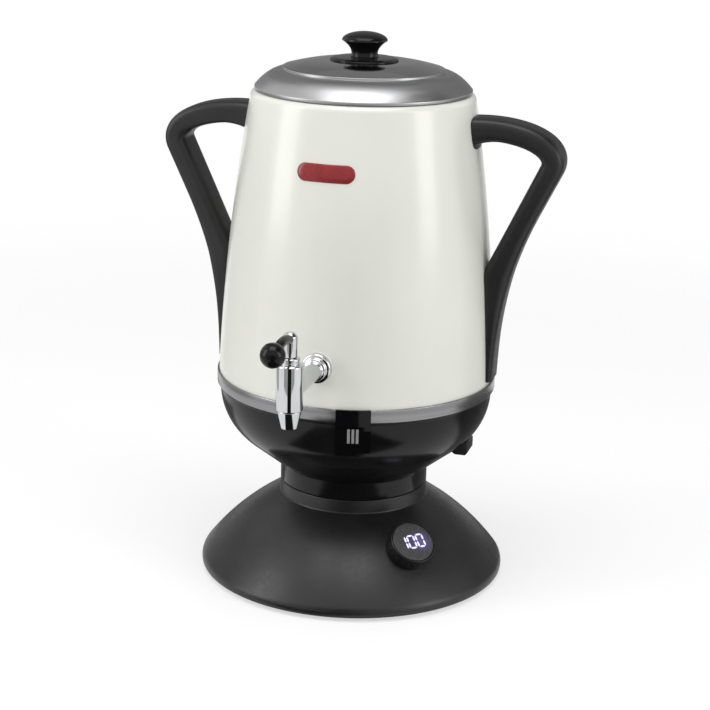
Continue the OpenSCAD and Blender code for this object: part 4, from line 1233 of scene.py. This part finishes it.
def leg_stations():
    run = (leg_start.y - tail_top) / math.cos(LEG_LEAN)
    for i in range(1, LEG_STEPS + 1):
        t = i / LEG_STEPS
        yield across(leg_start + leg_down * run * t, leg_out, mix(LEG_T + BEND_SWELL, LEG_T, t))


def tail_stations(outer, inner):
    end_r = wall_at(tail_end) + FIT_GAP + TAIL_T
    for i in range(1, TAIL_STEPS + 1):
        t = i / TAIL_STEPS
        z = mix(outer.y, tail_end, t)
        x = mix(outer.x, end_r, t) - TAIL_DIP * math.sin(math.pi * t)
        line = inner.x - (inner.y - z) * math.tan(LEG_LEAN)
        yield Vector((x, z)), Vector((max(line, wall_at(z) - TAIL_SINK), z))


def ease_outer_corner(stations, joint):
    start, corner, end = (stations[joint + k][0] for k in (-EASE_STEPS, 0, EASE_STEPS))
    for i in range(2 * EASE_STEPS + 1):
        t = i / (2 * EASE_STEPS)
        outer = mix(mix(start, corner, t), mix(corner, end, t), t)
        spot = joint - EASE_STEPS + i
        stations[spot] = outer, stations[spot][1]


def handle_stations():
    stations = [*arm_stations(), *leg_stations()]
    joint = len(stations) - 1
    stations += tail_stations(*stations[joint])
    ease_outer_corner(stations, joint)
    return stations


# %% Loft the handles
SECTION_POINTS = 48
SECTION_POWER = 4


def section_point(k):
    angle = 2 * math.pi * (k + 0.5) / SECTION_POINTS
    c = math.cos(angle)
    s = math.sin(angle)
    size = (abs(c) ** SECTION_POWER + abs(s) ** SECTION_POWER) ** (-1 / SECTION_POWER)
    return c * size, s * size


def outside_wall(point):
    radius = math.hypot(point.x, point.y)
    least = wall_at(point.z) + FIT_GAP
    if radius < least:
        point.x *= least / radius
        point.y *= least / radius
    return point


def make_handle(name, turn):
    shape = bmesh.new()
    section = [section_point(k) for k in range(SECTION_POINTS)]
    rows = []
    for outer, inner in handle_stations():
        mid = (outer + inner) / 2
        half = (outer - inner) / 2
        points = [Vector((mid.x + half.x * u, HANDLE_W / 2 * v, mid.y + half.y * u)) for u, v in section]
        rows.append([shape.verts.new(outside_wall(point) * MM) for point in points])
    bridge(shape, rows)
    shape.faces.new(list(reversed(rows[0])))
    shape.faces.new(rows[-1])
    shape.transform(Matrix.Rotation(math.radians(turn), 4, "Z"))
    return piece_of(name, clean(mesh_of(name, shape), sharp=40), grip_black)


carried(make_handle("right_grip", 0), "vessel", "black_satin_plastic", "right_handle")
carried(make_handle("left_grip", 180), "vessel", "black_satin_plastic", "left_handle")

# %% [markdown]
# ## The tap
# The tap is a plug cock: a level shank from the vessel, an upright barrel, a tapered nozzle below and a
# gland and lever on top. All its parts are turned metal, so each is an outline about its own axis. Shank
# and barrel are one casting, so a Boolean joins their meshes.

# %% Tap casting
BARREL_R = 8.8
BARREL_FLOOR = 3.0
PLUG_BORE = 5.65
WATER_R = 3.0
SHANK_R = 6.0
SHANK_RISE = 11.0
SHANK_STOP = 6.4
FLANGE_R = 10.5
FLANGE_T = 4.0
COLLAR_INSET = 2.5
COLLAR_REACH = 7.0
FLANGE_STEP = 0.6
COLLAR_STEP = 0.4
barrel_y = (low("gland_nut").y + high("gland_nut").y) / 2
barrel_low, barrel_high = heights("tap_body")
plug_low = barrel_low + BARREL_FLOOR
shank_z = barrel_low + SHANK_RISE
shank_in = -high("tap_body").y
shank_end = -barrel_y - SHANK_STOP
flange_at = -low("tap_outer_seal").y
flange_end = flange_at + FLANGE_T
collar_r = FLANGE_R - COLLAR_INSET
collar_end = flange_at + COLLAR_REACH
AT_BARREL = Matrix.Translation((0, barrel_y * MM, 0))
ALONG_SHANK = Matrix.Translation((0, 0, shank_z * MM)) @ Matrix.Rotation(math.radians(90), 4, "X")


def tap_casting():
    barrel = turned("tap_casting", [
        (WATER_R, barrel_low, 0.2), (BARREL_R, barrel_low, 0.9), (BARREL_R, barrel_high, 1.5),
        (PLUG_BORE, barrel_high), (PLUG_BORE, plug_low), (WATER_R, plug_low),
    ], chrome, segments=128, place=AT_BARREL)
    shank = turned("tap_shank", [
        (WATER_R, shank_in), (SHANK_R, shank_in, 0.5), (SHANK_R, flange_at),
        (FLANGE_R, flange_at, 0.3), (FLANGE_R, flange_end, 1.8), (collar_r, flange_end + FLANGE_STEP, 0.6),
        (collar_r, collar_end, 1.2), (SHANK_R, collar_end + COLLAR_STEP, 1.2),
        (SHANK_R, shank_end), (WATER_R, shank_end),
    ], chrome, segments=128, place=ALONG_SHANK)
    return combined(barrel, "UNION", shank)


carried(tap_casting(), "vessel", "chrome", "tap_body")

# %% Nozzle, gland and hub
SPOUT_WALL = 2.2
SPOUT_STEP = 0.6
GLAND_R = 6.6
GROOVE_RISE = 2.0
GROOVE_DEEP = 0.5
GROOVE_HALF = 0.5
GROOVE_FLOOR = 0.2
STEM_R = 3.05
HUB_R = 4.8
HUB_ROOF = 2.0
HUB_CHAMFER = 2.4
nozzle_low, nozzle_high = heights("tap_nozzle")
gland_low, gland_high = heights("gland_nut")
hub_low, hub_high = heights("lever_hub")
groove_z = gland_low + GROOVE_RISE
groove_r = GLAND_R - GROOVE_DEEP


def tap_turning(name, corners):
    return turned(name, corners, chrome, segments=96, place=AT_BARREL)


nozzle = tap_turning("tap_spout", [
    (WATER_R, nozzle_low, 0.4), (WATER_R + SPOUT_WALL, nozzle_low, 0.7),
    (BARREL_R - SPOUT_STEP, nozzle_high, 0.4), (WATER_R, nozzle_high),
])
gland = tap_turning("gland_ring", [
    (STEM_R, gland_low), (GLAND_R, gland_low, 0.4), (GLAND_R, groove_z - GROOVE_HALF, 0.2),
    (groove_r, groove_z - GROOVE_FLOOR, 0.1), (groove_r, groove_z + GROOVE_FLOOR, 0.1),
    (GLAND_R, groove_z + GROOVE_HALF, 0.2), (GLAND_R, gland_high, 1.2), (STEM_R, gland_high, 0.2),
])
hub = tap_turning("lever_cap", [
    (0, hub_high - HUB_ROOF), (STEM_R, hub_high - HUB_ROOF), (STEM_R, hub_low),
    (HUB_R, hub_low, 0.6), (HUB_R, hub_high - HUB_CHAMFER, 1.6),
    (HUB_R - HUB_CHAMFER, hub_high, 1.6), (0, hub_high),
])
carried(nozzle, "vessel", "chrome", "tap_nozzle")
carried(gland, "vessel", "chrome", "gland_nut")
carried(hub, "tap_valve", "chrome", "lever_hub")

# %% [markdown]
# ## The lid
# The lid is spun from steel sheet: an upright rim, a slope that flattens as it rises, a small step, and a
# gentle crown up to the knob. The step is pressed in with soft edges and shows as a fine bright ring. The
# crown inside it is polished finer than the slope and mirrors the knob, so its faces get a second finish.
# The knob and its disc are turned shapes too.

# %% Lid sheet
LID_T = 1.2
RIM_H = 2.0
STEP_R = 57.0
STEP_H = 1.7
CROWN_H = 5.1
CROWN_END = 2.0
SLOPE_POWER = 2.0
SKIRT_R = 24.0
POLISH_INSET = 0.8
lid_r = high("lid_dome").x
rim_z, crown_z = heights("lid_dome")
slope_z = rim_z + RIM_H
step_z = crown_z - CROWN_H - STEP_H
slope_h = step_z - slope_z


def slope_run(off, steps=40):
    run = []
    for i in range(steps + 1):
        u = i / steps
        fall = SLOPE_POWER * (1 - u) ** (SLOPE_POWER - 1) * slope_h / (lid_r - STEP_R)
        lean = math.atan(fall)
        z = slope_z + slope_h * (1 - (1 - u) ** SLOPE_POWER)
        run.append((mix(lid_r, STEP_R, u) - off * math.sin(lean), z - off * math.cos(lean)))
    return run


def crown_run(off, steps=20):
    run = []
    for i in range(steps + 1):
        u = i / steps
        z = step_z + STEP_H + CROWN_H * math.sin(math.pi / 2 * u)
        run.append((mix(STEP_R - off, SKIRT_R + CROWN_END, u), z - off))
    return run


def lid_outline():
    outside = slope_run(0)
    crown = crown_run(0)
    return [
        (0, crown_z - LID_T),
        *reversed(crown_run(LID_T, steps=10)), *reversed(slope_run(LID_T, steps=16)),
        (lid_r - LID_T, rim_z, 0.3), (lid_r, rim_z, 0.4),
        (*outside[0], 0.9), *outside[1:-1], (*outside[-1], 0.35),
        (*crown[0], 0.5), *crown[1:], (0, crown_z),
    ]


def polish_crown(piece):
    piece.data.materials.append(crown_steel)
    for face in piece.data.polygons:
        middle = face.center / MM
        if math.hypot(middle.x, middle.y) < STEP_R - POLISH_INSET and middle.z > step_z:
            face.material_index = 1


lid = turned("lid_sheet", lid_outline(), lid_steel, segments=288)
polish_crown(lid)
carried(lid, "lid", "brushed_steel", "lid_dome")

# %% Knob and its disc
KNOB_R = 16.0
KNOB_STEPS = 24
NECK_SHARE = 0.52
HEAD_SHARE = 0.64
FLARE_POWER = 2.2
FOOT_FLARE = 1.5
DISC_EDGE = 1.1
DISC_RISE = 1.95
DISC_SLOPE = 3.0
knob_low, knob_high = heights("lid_knob")
neck = KNOB_R * NECK_SHARE
head_z = mix(knob_low, knob_high, HEAD_SHARE)
skirt = turned("knob_disc", [
    (0, crown_z), (SKIRT_R, crown_z, 0.2), (SKIRT_R, crown_z + DISC_EDGE, 0.7),
    (SKIRT_R - DISC_SLOPE, crown_z + DISC_RISE, 2.0), (neck + DISC_SLOPE, knob_low), (0, knob_low),
], knob_black, segments=160)
carried(skirt, "lid", "black_gloss_plastic", "knob_skirt")


def stem_point(t):
    return mix(neck, KNOB_R, t**FLARE_POWER) + FOOT_FLARE * (1 - t) ** 3, mix(knob_low, head_z, t)


def knob_outline():
    stem = [stem_point(i / KNOB_STEPS) for i in range(1, KNOB_STEPS + 1)]
    head = arc(0, 0, 1, 0, 90, KNOB_STEPS)[1:-1]
    cap = [(KNOB_R * x, mix(head_z, knob_high, y)) for x, y in head]
    return [
        (0, knob_low), (neck + FOOT_FLARE, knob_low, 0.2), *stem[:-1], (*stem[-1], 0.9),
        *cap, (0, knob_high),
    ]


knob = turned("lid_grip", knob_outline(), knob_black, segments=160)
carried(knob, "lid", "black_gloss_plastic", "lid_knob")

# %% [markdown]
# ## The switch
# The power switch is a rocker tab that stands out of the bowl under the right handle. Its solid is a simple
# prism, so a copy of the CAD mesh is merged, its flat faces are joined, and a Bevel rounds its edges as a
# mould would.

# %% Rounded copy of a CAD solid
BEVEL_W = 0.7
BEVEL_ANGLE = 40
FLAT_ANGLE = 2


def softened(name, node, finish):
    shape = bmesh.new()
    shape.from_mesh(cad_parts[node].data)
    bmesh.ops.remove_doubles(shape, verts=shape.verts, dist=2 * MICRON)
    flat = math.radians(FLAT_ANGLE)
    bmesh.ops.dissolve_limit(shape, angle_limit=flat, verts=shape.verts, edges=shape.edges)
    piece = piece_of(name, mesh_of(name, shape), finish)
    bevel = piece.modifiers.new("bevel", "BEVEL")
    bevel.width = BEVEL_W * MM
    bevel.segments = 3
    bevel.limit_method = "ANGLE"
    bevel.angle_limit = math.radians(BEVEL_ANGLE)
    return settled(piece)


rocker = softened("rocker_tab", "switch_paddle", base_black)
carried(rocker, "power_switch", "black_satin_plastic", "switch_paddle")

# %% [markdown]
# ## Screws in the base cover
# Three screws hold the cover under the base. A head with a crossed recess is the same three times over, so
# a tree makes one head, cuts the cross with a Mesh Boolean node, and puts a copy on each point of a small
# mesh.

# %% Geometry Nodes: crossed screw heads
HEAD_R = 3.0
HEAD_H = 1.8
SLOT_LONG = 1.2
SLOT_WIDE = 0.28
SLOT_DROP = -0.45
SCREW_COUNT = 3
SCREW_TURN = 30
FOOT_RING_W = 9.0
SCREW_INSET = 8.0
screw_ring = high("foot_ring").x - FOOT_RING_W - SCREW_INSET


def screw_tree():
    tree, given = new_tree("cross_screws", {
        "Places": "Geometry", "Head Radius": "Float", "Head Height": "Float", "Finish": "Material",
    })
    radius = given["Head Radius"]
    height = given["Head Height"]
    head = out(tree, "GeometryNodeMeshCylinder", {"Vertices": 48, "Radius": radius, "Depth": height})
    long = maths(tree, "MULTIPLY", radius, SLOT_LONG)
    wide = maths(tree, "MULTIPLY", radius, SLOT_WIDE)
    drop = vector(tree, z=maths(tree, "MULTIPLY", height, SLOT_DROP))
    crossed = add(tree, "GeometryNodeMeshBoolean", {0: head}, operation="DIFFERENCE", solver="EXACT")
    for x, y in ((long, wide), (wide, long)):
        slot = out(tree, "GeometryNodeMeshCube", {"Size": vector(tree, x, y, height)})
        sunk = out(tree, "GeometryNodeTransform", {"Geometry": slot, "Translation": drop})
        tree.links.new(sunk, crossed.inputs[1])
    copies = out(tree, "GeometryNodeInstanceOnPoints", {
        "Points": given["Places"], "Instance": crossed.outputs["Mesh"],
    })
    return end_tree(tree, copies, given["Finish"])


def make_screws():
    places = bpy.data.meshes.new("screw_places")
    first = DIAL_BEARING - SCREW_TURN
    angles = [math.radians(first + 360 / SCREW_COUNT * i) for i in range(SCREW_COUNT)]
    spots = [(screw_ring * math.cos(a), screw_ring * math.sin(a), FOOT_H + HEAD_H / 2) for a in angles]
    places.from_pydata([Vector(spot) * MM for spot in spots], [], [])
    made = run_tree("cover_screw_heads", places, screw_tree(), {
        "Head Radius": HEAD_R * MM, "Head Height": HEAD_H * MM, "Finish": fastener,
    })
    return piece_of("cover_screw_heads", clean(made))


carried(make_screws(), "base", "fastener_steel", "cover_screws")

# %% [markdown]
# ## Finishes for the solids that stay
# The pieces whose solids are already right keep them and only get a finish. The lamp bars shine a little,
# as lit symbols behind a glossy panel do.


# %% Lamp finish
def lamp_finish():
    material, tree, shader = new_finish("lamp_white", Roughness=0.35, Emission_Strength=0.06)
    uneven = noise(tree, object_place(tree), 300)
    feed(
        shader,
        Base_Color=tint(tree, uneven, (0.17, 0.17, 0.17), (0.25, 0.25, 0.25)),
        Emission_Color=tint(tree, uneven, (0.75, 0.75, 0.76), (1.0, 1.0, 1.0)),
    )
    return material


# %% Dress the remaining solids
KEPT = {
    base_black: ["base_cover", "display_turret", "power_post", "power_socket", "switch_block", "lid_liner"],
    rubber: ["foot_ring", "cord_gland", "plug_seals"],
    board: ["control_board", "display_board"],
    fastener: [
        "board_screws", "shell_screws", "handle_screws", "switch_pin", "knob_screw", "knob_washer", "tap_nut",
    ],
    panel_black: ["indicator_panel"],
    lamp_finish(): ["indicator_lamps"],
    silicone: ["rim_gasket", "tank_pads", "tap_outer_seal", "tap_inner_seal", "lid_seal"],
    aluminium: ["heater_plate"],
    element: ["heating_element"],
    ceramic: ["thermostat", "thermal_fuse"],
    brass: ["valve_plug"],
    knob_black: ["tap_lever", "lever_ball"],
}
for finish, names in KEPT.items():
    for name in names:
        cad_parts[name].material_slots[0].material = finish
print("solids dressed:", sum(len(names) for names in KEPT.values()))

# %% [markdown]
# ## Sizes and the end
# The looks must not change the object's size, so the box of the CAD model and the box of the dressed model
# are written side by side.

# %% Write the sizes and finish
low_now, high_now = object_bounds()
for label, size in (("cad", cad_high - cad_low), ("visual", high_now - low_now)):
    print(label, [round(v / MM, 1) for v in size], "mm")
